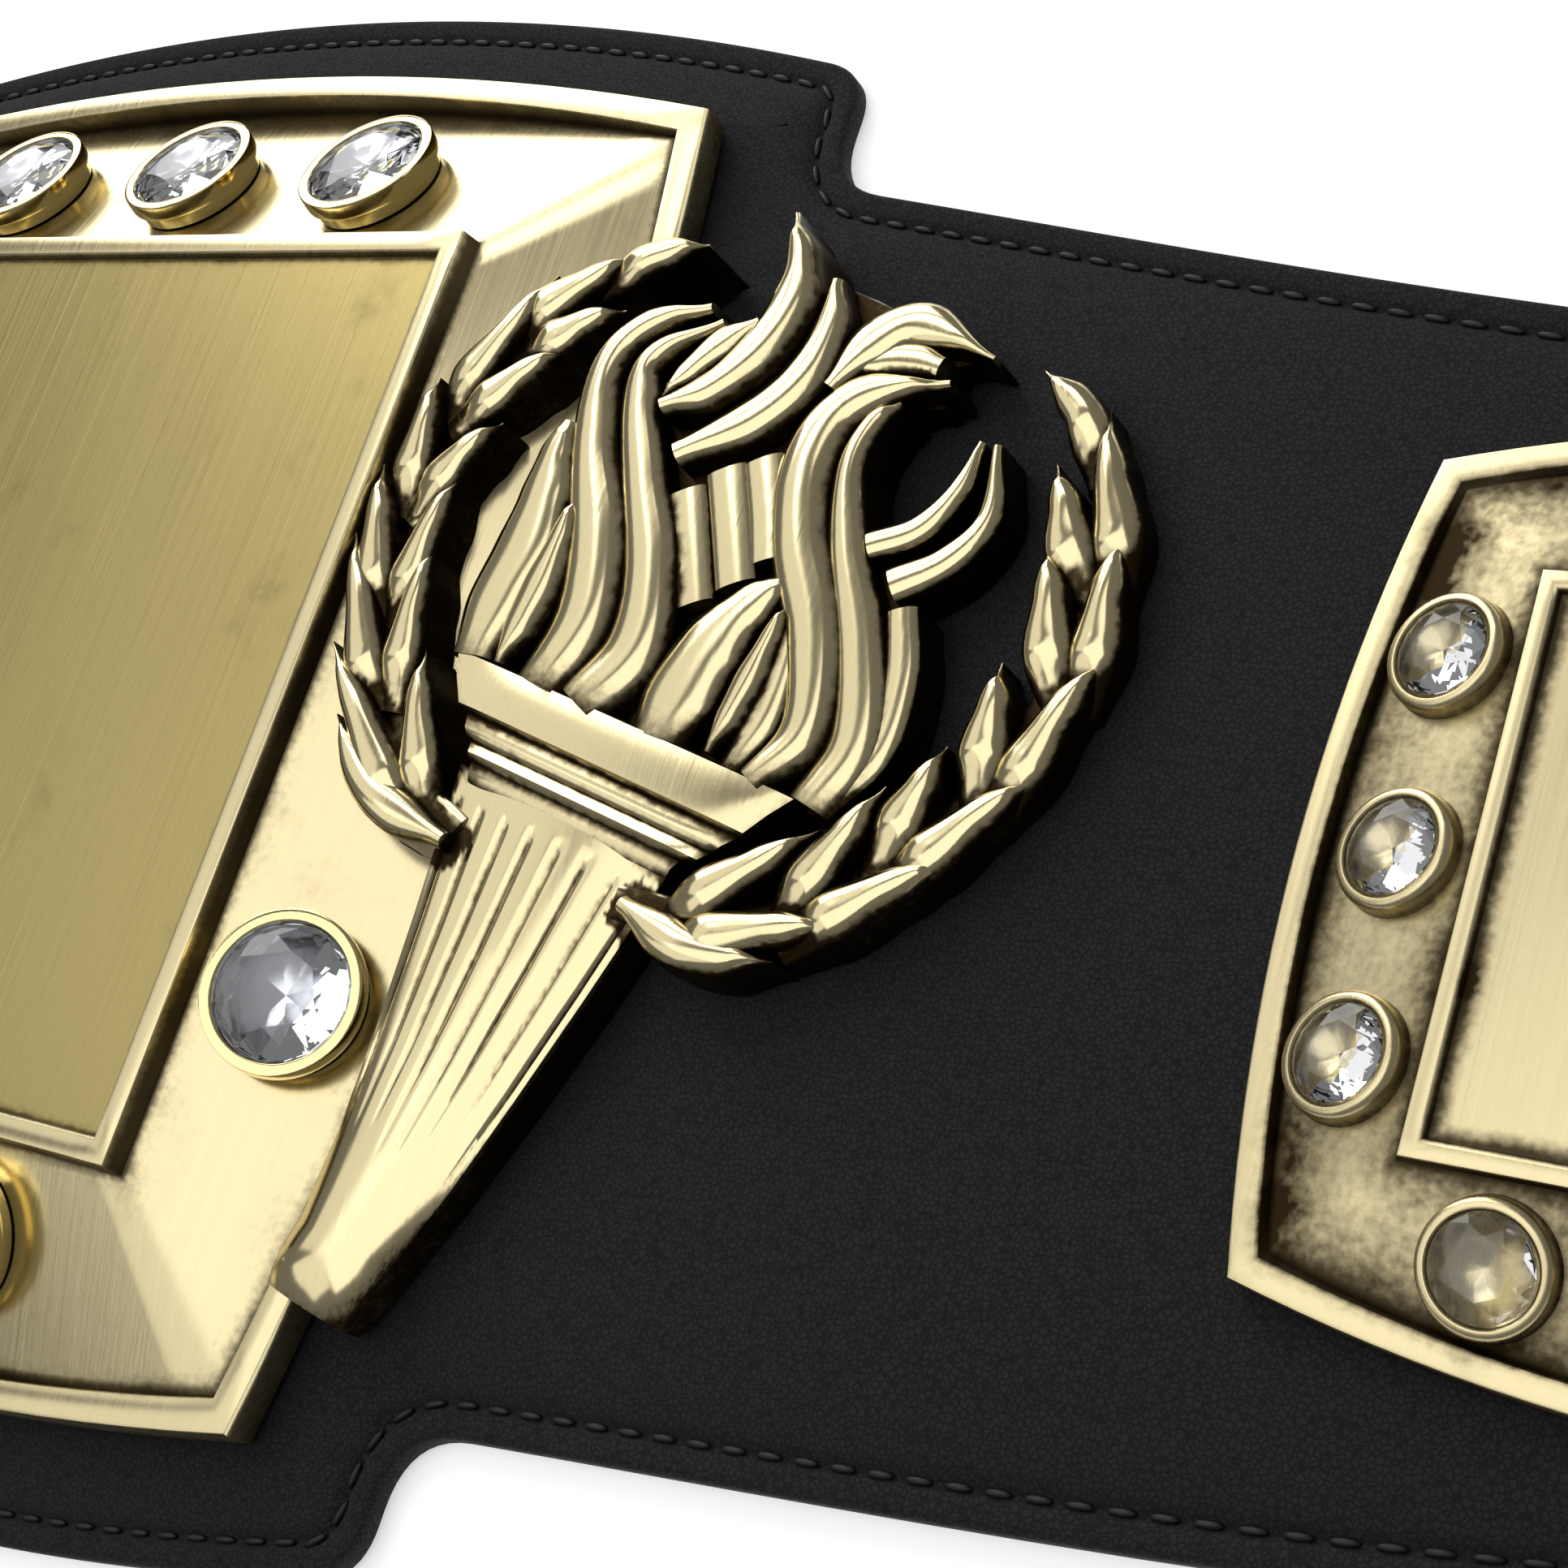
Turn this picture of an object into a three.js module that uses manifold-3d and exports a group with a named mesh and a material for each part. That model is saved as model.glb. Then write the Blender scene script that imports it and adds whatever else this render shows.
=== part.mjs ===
// Championship title belt, lying face up: padded leather strap, bevelled plates, torch castings and cut stones.
// Millimetres, +Z up, origin on the rest plane under the middle of the main plate, X along the strap.

import * as THREE from 'three';
import { mergeVertices } from 'three/addons/utils/BufferGeometryUtils.js';
import Module from 'manifold-3d';

const wasm = await Module();
wasm.setup();

const SEAT_GAP = 0.3;

// Strap: half outline in plan, and the heights of its hem, sewn groove and padded face
const STRAP = {
  flareHalfLength: 117.4, flareHalfHeight: 127.4, flareArcRadius: 440, flareCornerRadius: 7, neckRadius: 10,
  neckTop: 91.8, neckBottom: 92.8, halfLength: 620, endHalfHeight: 46, endCornerRadius: 26,
  hemWidth: 4.3, grooveWidth: 1.0, padRise: 10,
  hemHeight: 3.6, grooveHeight: 3.0, padHeight: 6.4, edgeRound: 0.7,
};
// Taper of the strap as shares: along from flare to end, and from the end's half height to the neck's
const BAND_ROWS = [
  { name: 'beside the flare', along: 0, top: 1, bottom: 1 },
  { name: 'under the side plate', along: 0.224, top: 0.577, bottom: 0.735 },
  { name: 'behind the side plate', along: 0.433, top: 0.306, bottom: 0.385 },
  { name: 'start of the fastening end', along: 0.702, top: 0.11, bottom: 0.13 },
  { name: 'end', along: 1, top: 0, bottom: 0 },
];
const FLARE_STEPS = 4;
const CORNER_STEPS = 3;
// Share of the shorter side that a rounded corner may take, and the distance within which points are one
const CORNER_SHARE = 0.476;
const WELD = 1e-4;

// Plates: flat rim, step, bevel bands of one slope that rise to a raised frame, and a sunk panel
const MAIN = {
  halfX: 97.9, halfY: 100.2, bulgeX: 8.0, bulgeY: 10.0, bandX: 27.0, bandY: 27.5, centreX: 0, centreY: 0,
  rimTop: 12.2, edgeBevel: 0.7, rimWidth: 4.0, stepWidth: 0.9, bevelSlope: 0.34,
  frameBase: 18.9, frameTop: 22.9, frameWidth: 3.7, panelDepth: 1.5, draft: 0.2,
};
const SIDE = {
  halfX: 51.9, halfY: 49.7, bulgeX: 5.3, bulgeY: 6.2, bandX: 16.5, bandY: 15.4,
  centreX: STRAP.flareHalfLength + 158, centreY: -1.9,
  rimTop: 9.4, edgeBevel: 0.4, rimWidth: 3.1, stepWidth: 0.8, bevelSlope: 0.28,
  frameBase: 12.8, frameTop: 14.0, frameWidth: 2.6, panelDepth: 1.0, draft: 0.2,
};
const ARC_STEPS = 4;

// Cut stones with a flat table, a faceted crown and a pointed pavilion, and the bezels that hold them
const MAIN_STONE = { radius: 9.6, table: 5.5, crown: 1.7, pavilion: 3.7, girdle: 4.3, tableSides: 8 };
const MAIN_BEZEL = { inner: 9.9, outer: 11.7, foot: 10.7, step: 2.4, height: 5.0, sides: 16 };
const SIDE_STONE = { radius: 5.7, table: 3.4, crown: 1.0, pavilion: 1.8, girdle: 2.2 };
const SIDE_BEZEL = { inner: 6.0, outer: 7.5, top: 6.7, height: 2.6, sunk: 1.2, floor: 0.4, sides: 10 };
// Places on the main bevel bands as shares: along the half side, and out from the frame to the step
const MAIN_STONE_ROWS = [
  { name: 'top_1', side: [0, 1], along: -0.415, out: 0.435 },
  { name: 'top_2', side: [0, 1], along: 0, out: 0.435 },
  { name: 'top_3', side: [0, 1], along: 0.415, out: 0.435 },
  { name: 'bottom_1', side: [0, -1], along: -0.415, out: 0.435 },
  { name: 'bottom_2', side: [0, -1], along: 0, out: 0.435 },
  { name: 'bottom_3', side: [0, -1], along: 0.415, out: 0.435 },
  { name: 'right', side: [1, 0], along: -0.437, out: 0.488 },
  { name: 'left', side: [-1, 0], along: -0.437, out: 0.488 },
];
const SIDE_ROW = { spacing: 24.0, fromFrame: 8.7 };

// Torch casting: its own axes u across and v up the torch, with a face that sinks away from the main plate.
// Outlines and spines are in hundredths of the span, measured from the middle of the bowl
const TORCH = {
  span: 100, beyondPlate: 24.5, originY: -3, leanDegrees: 13.2,
  faceAtFrame: 21.2, faceSlope: 1 / 12, slabDrop: 2.6, clearAbove: 10,
};
const HANDLE_ROWS = [
  { name: 'under the collar', v: -10, left: -19.8, right: 18.6, drop: 0.6 },
  { name: 'upper third', v: -30, left: -14.4, right: 16.4, drop: 1.6 },
  { name: 'lower third', v: -56, left: -9.2, right: 12.4, drop: 3.4 },
  { name: 'tip', v: -81.6, left: -8.2, right: 5.8, drop: 4.0 },
];
const HANDLE_CROWN = 1.6;
const FLUTES = {
  count: 5, top: -12.5, tip: -60, rise: 0.7, topShare: 0.84, tipShare: 0.5, edgeDrop: 1.2, fill: 0.87,
};
const BOWL_ROWS = [
  { name: 'band top', v: 4.2, left: -27.6, right: 31.6, rise: 1.4 },
  { name: 'band foot', v: -3.2, left: -22.2, right: 27.0, rise: 1.4 },
  { name: 'first moulding', v: -3.9, left: -21.0, right: 24.0, rise: 0.4 },
  { name: 'first moulding foot', v: -6.6, left: -19.0, right: 22.6, rise: 0.4 },
  { name: 'second moulding', v: -7.2, left: -18.2, right: 19.6, rise: 1.0 },
  { name: 'collar', v: -11, left: -16.4, right: 18.2, rise: 1.0 },
];
const FLAME_SLAB = [
  [-27, 4], [-31.5, 14], [-30.5, 26], [-33.6, 35], [-32.6, 40], [-29, 37], [-33.6, 47], [-33.8, 53], [-30, 59],
  [-24, 61.5], [-17, 60], [-11.6, 67], [-11, 72], [-4.6, 72.6], [5, 71.6], [20, 69], [17, 66], [10, 62],
  [20, 60.8], [14, 58], [13.2, 51], [16.4, 44.6], [22.2, 39.4], [29, 34.5], [36.2, 27], [39, 18], [38, 9],
  [32.5, 4],
];
// Each tongue follows its spine from the bowl to its tip; the widths are shares of its half width
const TONGUES = [
  {
    name: 'outer left', half: 4.4, rise: 2.0, widths: [0.9, 1.05, 1, 0.8, 0.65, 0.55, 0.2],
    spine: [[-13, 4], [-12.5, 15], [-17.5, 26], [-26, 38], [-31, 49], [-28.6, 57], [-20, 62.6]],
  },
  {
    name: 'inner left', half: 4.2, rise: 1.8, widths: [1, 1.1, 0.95, 0.8, 0.7, 0.5, 0.15],
    spine: [[-5.6, 4], [-2.6, 14], [-7, 25], [-15.4, 36], [-22.6, 46], [-24.6, 53], [-17.2, 61.2]],
  },
  {
    name: 'left bulb', half: 3.6, rise: 1.3, widths: [0.7, 1, 0.8, 0.3],
    spine: [[-26, 4], [-28, 14], [-28.4, 25], [-31.4, 39]],
  },
  {
    name: 'left lens', half: 3.2, rise: 2.0, widths: [0.3, 1, 0.15],
    spine: [[-19.6, 4.6], [-20.6, 16], [-22.4, 29.4]],
  },
  {
    name: 'crest', half: 3.9, rise: 2.4, widths: [0.4, 0.8, 1, 1, 0.55, 0.1],
    spine: [[-18, 46.4], [-12.4, 51.4], [-8.8, 59], [-8.2, 66.6], [-10.6, 73.2], [-15.8, 79.6]],
  },
  {
    name: 'crest back', half: 3.4, rise: 1.6, widths: [0.6, 1, 1, 0.8, 0.3],
    spine: [[-12.4, 41], [-4.4, 49.4], [-0.8, 57], [-0.8, 65], [-3.4, 71.6]],
  },
  {
    name: 'shoulder', half: 3.4, rise: 1.0, widths: [0.7, 1, 0.9, 0.15],
    spine: [[4.2, 57], [6.4, 65], [12, 69.6], [24.6, 68]],
  },
  {
    name: 'outer right', half: 4.0, rise: 2.0, widths: [0.6, 0.9, 1, 1, 1, 0.85, 0.15],
    spine: [[24.6, 4], [27.4, 13], [21, 25.4], [12, 36], [6.8, 47], [9, 56.6], [20.8, 62.8]],
  },
  {
    name: 'inner right', half: 3.3, rise: 1.5, widths: [1, 1.1, 1, 0.8, 0.6, 0.5, 0.2],
    spine: [[33.6, 4], [34.6, 14], [28, 26], [19.4, 37], [13.6, 47], [13.2, 54], [15.6, 58]],
  },
  {
    name: 'near hook', half: 2.0, rise: 1.0, widths: [1, 1, 0.7, 0.15],
    spine: [[22, 38.4], [27.4, 42.8], [29.8, 49.6], [29.6, 56.4]],
  },
  {
    name: 'far hook', half: 2.4, rise: 1.2, widths: [1, 0.9, 0.7, 0.15],
    spine: [[28, 34.6], [33.4, 40], [35.8, 47.4], [31.9, 56.6]],
  },
  {
    name: 'right bulb', half: 5.2, rise: 1.3, widths: [0.7, 1, 0.7, 0.15],
    spine: [[8.6, 4], [8, 14], [9.6, 24], [14, 31]],
  },
  {
    name: 'right lens', half: 2.8, rise: 1.8, widths: [0.4, 1, 0.15],
    spine: [[17.8, 5], [17, 16], [16.4, 27]],
  },
];
const TONGUE_STEPS = 5;
// Laurel branches from the collar to the top: each row is a pair of leaves that part at the node
const LEFT_LEAVES = [
  { name: 'root', node: [-27, -14], outer: [-49.4, -2], inner: [-33.6, 2.4] },
  { name: 'second', node: [-40, -1], outer: [-56.6, 14], inner: [-42, 17] },
  { name: 'third', node: [-46.7, 10.4], outer: [-58.6, 24.6], inner: [-44.6, 27.3] },
  { name: 'fourth', node: [-51, 26.4], outer: [-58, 39.7], inner: [-43, 36.6] },
  { name: 'fifth', node: [-50.4, 41], outer: [-48.4, 60.2], inner: [-39.6, 50] },
  { name: 'sixth', node: [-45, 53.4], outer: [-37.4, 67], inner: [-34, 58.4] },
];
const RIGHT_LEAVES = [
  { name: 'root', node: [28, -13.4], outer: [46.4, -7.6], inner: [36.4, 2] },
  { name: 'second', node: [41, -5.4], outer: [55.6, 5.4], inner: [41.7, 10.4] },
  { name: 'third', node: [48.6, 6], outer: [60.0, 18.8], inner: [46.6, 18] },
  { name: 'fourth', node: [54, 19.6], outer: [60.0, 35.8], inner: [47.6, 30.4] },
  { name: 'fifth', node: [54.8, 35.4], outer: [54.0, 51.6], inner: [45.2, 46.8] },
  { name: 'sixth', node: [50.4, 49], outer: [43.6, 66], inner: [40.6, 57] },
];
const LEAF = { half: 3.3, rise: 1.5, root: 7, tipShare: 0.15, rootShare: 0.7, bow: 0.22, steps: 2 };
// Each branch has a stem at its root, a single leaf below the root and a single leaf at its end
const LEFT_BRANCH = {
  stem: [[-14, -18], [-26, -14.6], [-36, -5]],
  skirt: [[-14, -21], [-29, -18.5], [-42, -11]],
  end: [[-42, 59], [-35, 66.6], [-26.6, 71.4]],
};
const RIGHT_BRANCH = {
  stem: [[14, -17], [27, -13.8], [38, -7.4]],
  skirt: [[18, -17.5], [28, -18.6], [39.6, -15.2]],
  end: [[46, 56], [41, 64], [32.4, 68.4]],
};
const STEM = { half: 2.8, crown: 0.2, steps: 2 };

// Press studs: cap, post through the strap, and foot in a counterbore on the back
const SNAP = {
  capRadius: 7.5, capHeight: 1.7, capShoulder: 0.86, shoulderShare: 0.75, postRadius: 2.2, footRadius: 4.6,
  footTop: 1.5, footBottom: 0.4, fit: 0.3, through: 1, sides: 10, fromEnd: 40, rowShare: 0.46,
};

// Geometry helpers
function geometryFrom(positions, indices) {
  const geometry = new THREE.BufferGeometry();
  geometry.setAttribute('position', new THREE.Float32BufferAttribute(positions, 3));
  geometry.setIndex(indices);
  return geometry;
}

function weld(geometry) {
  const bare = geometry.clone();
  bare.deleteAttribute('normal');
  bare.deleteAttribute('uv');
  return mergeVertices(bare, WELD);
}

function solid(geometry) {
  const welded = weld(geometry);
  return new wasm.Manifold(new wasm.Mesh({
    numProp: 3,
    vertProperties: new Float32Array(welded.attributes.position.array),
    triVerts: new Uint32Array(welded.index.array),
  }));
}

function fromSolid(manifold) {
  const mesh = manifold.getMesh();
  const positions = [];
  for (let i = 0; i < mesh.vertProperties.length; i += mesh.numProp) {
    positions.push(mesh.vertProperties[i], mesh.vertProperties[i + 1], mesh.vertProperties[i + 2]);
  }
  return geometryFrom(positions, Array.from(mesh.triVerts));
}

// A closed skin through loops of equal length, counter-clockwise from above and listed from the underside up
function skin(loops) {
  const count = loops[0].length;
  const positions = [];
  const indices = [];
  loops.forEach((loop) => loop.forEach((p) => positions.push(p[0], p[1], p[2])));
  for (let k = 0; k + 1 < loops.length; k += 1) {
    for (let i = 0; i < count; i += 1) {
      const a = k * count + i;
      const b = k * count + ((i + 1) % count);
      indices.push(a, b, b + count, a, b + count, a + count);
    }
  }
  const flat = (loop) => loop.map((p) => new THREE.Vector2(p[0], p[1]));
  const last = (loops.length - 1) * count;
  THREE.ShapeUtils.triangulateShape(flat(loops[0]), []).forEach(([a, b, c]) => indices.push(c, b, a));
  THREE.ShapeUtils.triangulateShape(flat(loops[loops.length - 1]), [])
    .forEach(([a, b, c]) => indices.push(last + a, last + b, last + c));
  return geometryFrom(positions, indices);
}

function mirroredX(geometry) {
  const copy = geometry.clone();
  const position = copy.attributes.position;
  for (let i = 0; i < position.count; i += 1) {
    position.setX(i, -position.getX(i));
  }
  const index = Array.from(copy.index.array);
  for (let i = 0; i < index.length; i += 3) {
    [index[i], index[i + 1]] = [index[i + 1], index[i]];
  }
  copy.setIndex(index);
  return copy;
}

// Replaces each corner that has a radius by a curve with a fixed number of points
function roundCorners(keys) {
  const points = [];
  keys.forEach((key, i) => {
    if (!key.radius) {
      points.push([key.x, key.y]);
      return;
    }
    const corner = new THREE.Vector2(key.x, key.y);
    const back = new THREE.Vector2(keys[i - 1].x, keys[i - 1].y).sub(corner);
    const on = new THREE.Vector2(keys[i + 1].x, keys[i + 1].y).sub(corner);
    const longest = Math.min(back.length(), on.length()) * CORNER_SHARE;
    const reach = Math.min(key.radius, longest);
    const from = corner.clone().add(back.setLength(reach));
    const to = corner.clone().add(on.setLength(reach));
    const curve = new THREE.QuadraticBezierCurve(from, corner, to);
    curve.getPoints(CORNER_STEPS).forEach((p) => points.push([p.x, p.y]));
  });
  return points;
}

// Strap
function flareHalf(x) {
  return STRAP.flareHalfHeight - (x * x) / (2 * STRAP.flareArcRadius);
}

function bandPlace(row, side) {
  const neck = side === 'top' ? STRAP.neckTop : STRAP.neckBottom;
  return {
    x: THREE.MathUtils.lerp(STRAP.flareHalfLength, STRAP.halfLength, row.along),
    y: THREE.MathUtils.lerp(STRAP.endHalfHeight, neck, row[side]),
  };
}

function bandHalf(x, side) {
  const places = BAND_ROWS.map((row) => bandPlace(row, side));
  const far = Math.max(1, places.findIndex((place) => x <= place.x));
  const [near, next] = [places[far - 1], places[far]];
  return near.y + ((next.y - near.y) * (x - near.x)) / (next.x - near.x);
}

// One quarter of the strap's outline, from above the origin to the middle of the right end
function strapQuarter(inset, side) {
  const flareX = STRAP.flareHalfLength - inset;
  const endX = STRAP.halfLength - inset;
  const keys = [];
  for (let i = 0; i < FLARE_STEPS; i += 1) {
    const x = (STRAP.flareHalfLength - STRAP.flareCornerRadius) * (i / FLARE_STEPS);
    keys.push({ x, y: flareHalf(x) - inset });
  }
  keys.push({ x: flareX, y: flareHalf(flareX) - inset, radius: STRAP.flareCornerRadius });
  keys.push({ x: flareX, y: bandHalf(flareX, side) - inset, radius: STRAP.neckRadius });
  const taper = BAND_ROWS.slice(1, -1).map((row) => bandPlace(row, side));
  taper.forEach(({ x, y }) => keys.push({ x, y: y - inset }));
  keys.push({ x: endX, y: bandHalf(endX, side) - inset, radius: STRAP.endCornerRadius });
  keys.push({ x: endX, y: 0 });
  return roundCorners(keys);
}

function strapLoop(inset, z) {
  const upper = strapQuarter(inset, 'top');
  const lower = strapQuarter(inset, 'bottom');
  const outline = [
    ...upper.slice().reverse(),
    ...upper.slice(1).map(([x, y]) => [-x, y]),
    ...lower.slice(0, -1).reverse().map(([x, y]) => [-x, -y]),
    ...lower.slice(1, -1).map(([x, y]) => [x, -y]),
  ];
  return outline.map(([x, y]) => [x, y, z]);
}

function strapGeometry() {
  const loops = [
    strapLoop(0, 0),
    strapLoop(0, STRAP.hemHeight - STRAP.edgeRound),
    strapLoop(STRAP.edgeRound, STRAP.hemHeight),
    strapLoop(STRAP.hemWidth - STRAP.grooveWidth, STRAP.hemHeight),
    strapLoop(STRAP.hemWidth, STRAP.grooveHeight),
    strapLoop(STRAP.hemWidth + STRAP.padRise, STRAP.padHeight),
  ];
  let strap = solid(skin(loops));
  snapPlaces().forEach(({ x, y }) => {
    strap = strap.subtract(solid(snapHole().translate(x, y, 0)));
  });
  return fromSolid(strap);
}

// Plates: a four-sided outline whose sides bow outward
function panelLoop(plate, halfX, halfY, bow, height) {
  const points = [];
  const side = (from, to, bulge, normal) => {
    for (let i = 0; i < ARC_STEPS; i += 1) {
      const t = (2 * i) / ARC_STEPS - 1;
      const out = bow * bulge * (1 - t * t);
      const s = (t + 1) / 2;
      const x = from[0] + (to[0] - from[0]) * s + normal[0] * out;
      const y = from[1] + (to[1] - from[1]) * s + normal[1] * out;
      points.push([plate.centreX + x, plate.centreY + y, height(x, y)]);
    }
  };
  side([halfX, -halfY], [halfX, halfY], plate.bulgeX, [1, 0]);
  side([halfX, halfY], [-halfX, halfY], plate.bulgeY, [0, 1]);
  side([-halfX, halfY], [-halfX, -halfY], plate.bulgeX, [-1, 0]);
  side([-halfX, -halfY], [halfX, -halfY], plate.bulgeY, [0, -1]);
  return points;
}

function rimLoop(plate, inset, z) {
  return panelLoop(plate, plate.halfX - inset, plate.halfY - inset, 1, () => z);
}

function frameHalves(plate) {
  return [plate.halfX - plate.bandX, plate.halfY - plate.bandY];
}

function frameLoop(plate, inset, z) {
  const [frameX, frameY] = frameHalves(plate);
  return panelLoop(plate, frameX - inset, frameY - inset, 0, () => z);
}

// Height of the bevel bands at a place measured from the plate's middle
function bevelHeight(plate, x, y) {
  const [frameX, frameY] = frameHalves(plate);
  const out = Math.max(Math.abs(x) - frameX, Math.abs(y) - frameY, 0);
  return plate.frameBase - plate.bevelSlope * out;
}

function bevelFoot(plate, inset, lift) {
  const height = (x, y) => bevelHeight(plate, x, y) + lift;
  return panelLoop(plate, plate.halfX - inset, plate.halfY - inset, 1, height);
}

function plateGeometry(plate) {
  return skin([
    rimLoop(plate, 0, STRAP.padHeight + SEAT_GAP),
    rimLoop(plate, 0, plate.rimTop - plate.edgeBevel),
    rimLoop(plate, plate.edgeBevel, plate.rimTop),
    rimLoop(plate, plate.rimWidth, plate.rimTop),
    bevelFoot(plate, plate.rimWidth + plate.stepWidth, 0),
    frameLoop(plate, 0, plate.frameBase),
    frameLoop(plate, plate.draft, plate.frameTop),
    frameLoop(plate, plate.frameWidth, plate.frameTop),
    frameLoop(plate, plate.frameWidth + plate.draft, plate.frameTop - plate.panelDepth),
  ]);
}

// A place on a bevel band from its shares along the half side and out from the frame
function bandPoint(plate, { side, along, out }) {
  const [frameX, frameY] = frameHalves(plate);
  const rim = plate.rimWidth + plate.stepWidth;
  const bow = 1 - along * along;
  const outerX = plate.halfX + plate.bulgeX * bow - rim;
  const outerY = plate.halfY + plate.bulgeY * bow - rim;
  return side[0]
    ? [side[0] * THREE.MathUtils.lerp(frameX, outerX, out), along * plate.halfY]
    : [along * plate.halfX, side[1] * THREE.MathUtils.lerp(frameY, outerY, out)];
}

// Turns and moves a piece onto a bevel band, its axis along the band's normal
function onBevel(plate, x, y, lift) {
  const [frameX, frameY] = frameHalves(plate);
  const onSide = Math.abs(x) - frameX > Math.abs(y) - frameY;
  const tilt = onSide ? [plate.bevelSlope * Math.sign(x), 0] : [0, plate.bevelSlope * Math.sign(y)];
  const normal = new THREE.Vector3(tilt[0], tilt[1], 1).normalize();
  const turn = new THREE.Quaternion().setFromUnitVectors(new THREE.Vector3(0, 0, 1), normal);
  const place = new THREE.Vector3(plate.centreX + x, plate.centreY + y, bevelHeight(plate, x, y));
  return new THREE.Matrix4().compose(place.addScaledVector(normal, lift), turn, new THREE.Vector3(1, 1, 1));
}

// Turned and cut pieces, axis along +Z and foot at zero
function turned(profile, sides) {
  const points = profile.map(([radius, height]) => new THREE.Vector2(radius, height));
  const lathe = new THREE.LatheGeometry(points, sides);
  lathe.rotateX(Math.PI / 2);
  return weld(lathe);
}

function mainBezelGeometry() {
  const b = MAIN_BEZEL;
  return turned([
    [b.inner, 0], [b.foot, 0], [b.outer, b.step], [b.outer, b.height], [b.inner, b.height], [b.inner, 0],
  ], b.sides);
}

// A cup with a conical seat, its foot sunk into the plate that it is cast with
function sideBezelGeometry() {
  const b = SIDE_BEZEL;
  return turned([
    [0, -b.sunk], [b.outer, -b.sunk], [b.top, b.height], [b.inner, b.height], [0, b.floor],
  ], b.sides);
}

function mainStoneGeometry() {
  const cut = MAIN_STONE;
  const facets = cut.tableSides;
  const positions = [];
  const indices = [];
  const ring = (radius, count, z) => {
    for (let i = 0; i < count; i += 1) {
      const angle = (2 * Math.PI * i) / count;
      positions.push(radius * Math.cos(angle), radius * Math.sin(angle), z);
    }
  };
  ring(cut.table, facets, cut.girdle + cut.crown);
  ring(cut.radius, 2 * facets, cut.girdle);
  positions.push(0, 0, cut.girdle - cut.pavilion);
  const girdle = (j) => facets + ((j + 2 * facets) % (2 * facets));
  const culet = 3 * facets;
  for (let i = 0; i < facets; i += 1) {
    const next = (i + 1) % facets;
    indices.push(i, girdle(2 * i - 1), girdle(2 * i));
    indices.push(i, girdle(2 * i), girdle(2 * i + 1));
    indices.push(i, girdle(2 * i + 1), next);
    if (i > 1) {
      indices.push(0, i - 1, i);
    }
  }
  for (let j = 0; j < 2 * facets; j += 1) {
    indices.push(culet, girdle(j + 1), girdle(j));
  }
  return geometryFrom(positions, indices);
}

function sideStoneGeometry() {
  const cut = SIDE_STONE;
  const crownTop = cut.girdle + cut.crown;
  return turned([
    [0, cut.girdle - cut.pavilion], [cut.radius, cut.girdle], [cut.table, crownTop], [0, crownTop],
  ], SIDE_BEZEL.sides);
}

// Torch casting
const CASTING_FOOT = STRAP.padHeight + SEAT_GAP;

function torchPoint(u, v, z) {
  const lean = THREE.MathUtils.degToRad(TORCH.leanDegrees);
  const x = MAIN.halfX + TORCH.beyondPlate + u * Math.cos(lean) + v * Math.sin(lean);
  const y = TORCH.originY - u * Math.sin(lean) + v * Math.cos(lean);
  return [x, y, z];
}

function faceHeight(u, v) {
  const [x] = torchPoint(u, v, 0);
  return TORCH.faceAtFrame - (x - MAIN.halfX + MAIN.bandX) * TORCH.faceSlope;
}

function spanned(points) {
  return points.map((p) => p.map((share) => (share * TORCH.span) / 100));
}

function slabGeometry(outline, drop) {
  const foot = outline.map(([u, v]) => torchPoint(u, v, CASTING_FOOT));
  const top = outline.map(([u, v]) => torchPoint(u, v, faceHeight(u, v) - drop));
  return skin([foot, top]);
}

// A crested ridge standing on the casting's foot: rows hold its left edge, right edge and crest
function ridgeFromRows(rows) {
  const positions = [];
  const indices = [];
  rows.forEach(({ left, right, edge, crest }) => {
    const middle = [(left[0] + right[0]) / 2, (left[1] + right[1]) / 2];
    positions.push(
      ...torchPoint(...left, CASTING_FOOT), ...torchPoint(...right, CASTING_FOOT),
      ...torchPoint(...right, edge), ...torchPoint(...middle, crest), ...torchPoint(...left, edge),
    );
  });
  const count = 5;
  const end = (rows.length - 1) * count;
  for (let k = 0; k < end; k += count) {
    for (let i = 0; i < count; i += 1) {
      const a = k + i;
      const b = k + ((i + 1) % count);
      indices.push(a, a + count, b + count, a, b + count, b);
    }
  }
  for (let i = 1; i + 1 < count; i += 1) {
    indices.push(0, i, i + 1, end, end + i + 1, end + i);
  }
  return geometryFrom(positions, indices);
}

// A ridge along a spine, with half widths spread evenly over it
function ridgeGeometry(spine, halves, rise, steps, drop = 0) {
  const curve = new THREE.CatmullRomCurve3(spine.map(([u, v]) => new THREE.Vector3(u, v, 0)));
  const rows = [];
  for (let i = 0; i <= steps; i += 1) {
    const t = i / steps;
    const centre = curve.getPoint(t);
    const along = curve.getTangent(t);
    const at = t * (halves.length - 1);
    const low = Math.min(Math.floor(at), halves.length - 2);
    const half = THREE.MathUtils.lerp(halves[low], halves[low + 1], at - low);
    const edge = faceHeight(centre.x, centre.y) - drop;
    rows.push({
      left: [centre.x - along.y * half, centre.y + along.x * half],
      right: [centre.x + along.y * half, centre.y - along.x * half],
      edge,
      crest: edge + rise,
    });
  }
  return ridgeFromRows(rows);
}

function leafHalves() {
  return [LEAF.rootShare, 1, LEAF.tipShare].map((share) => LEAF.half * share);
}

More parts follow.
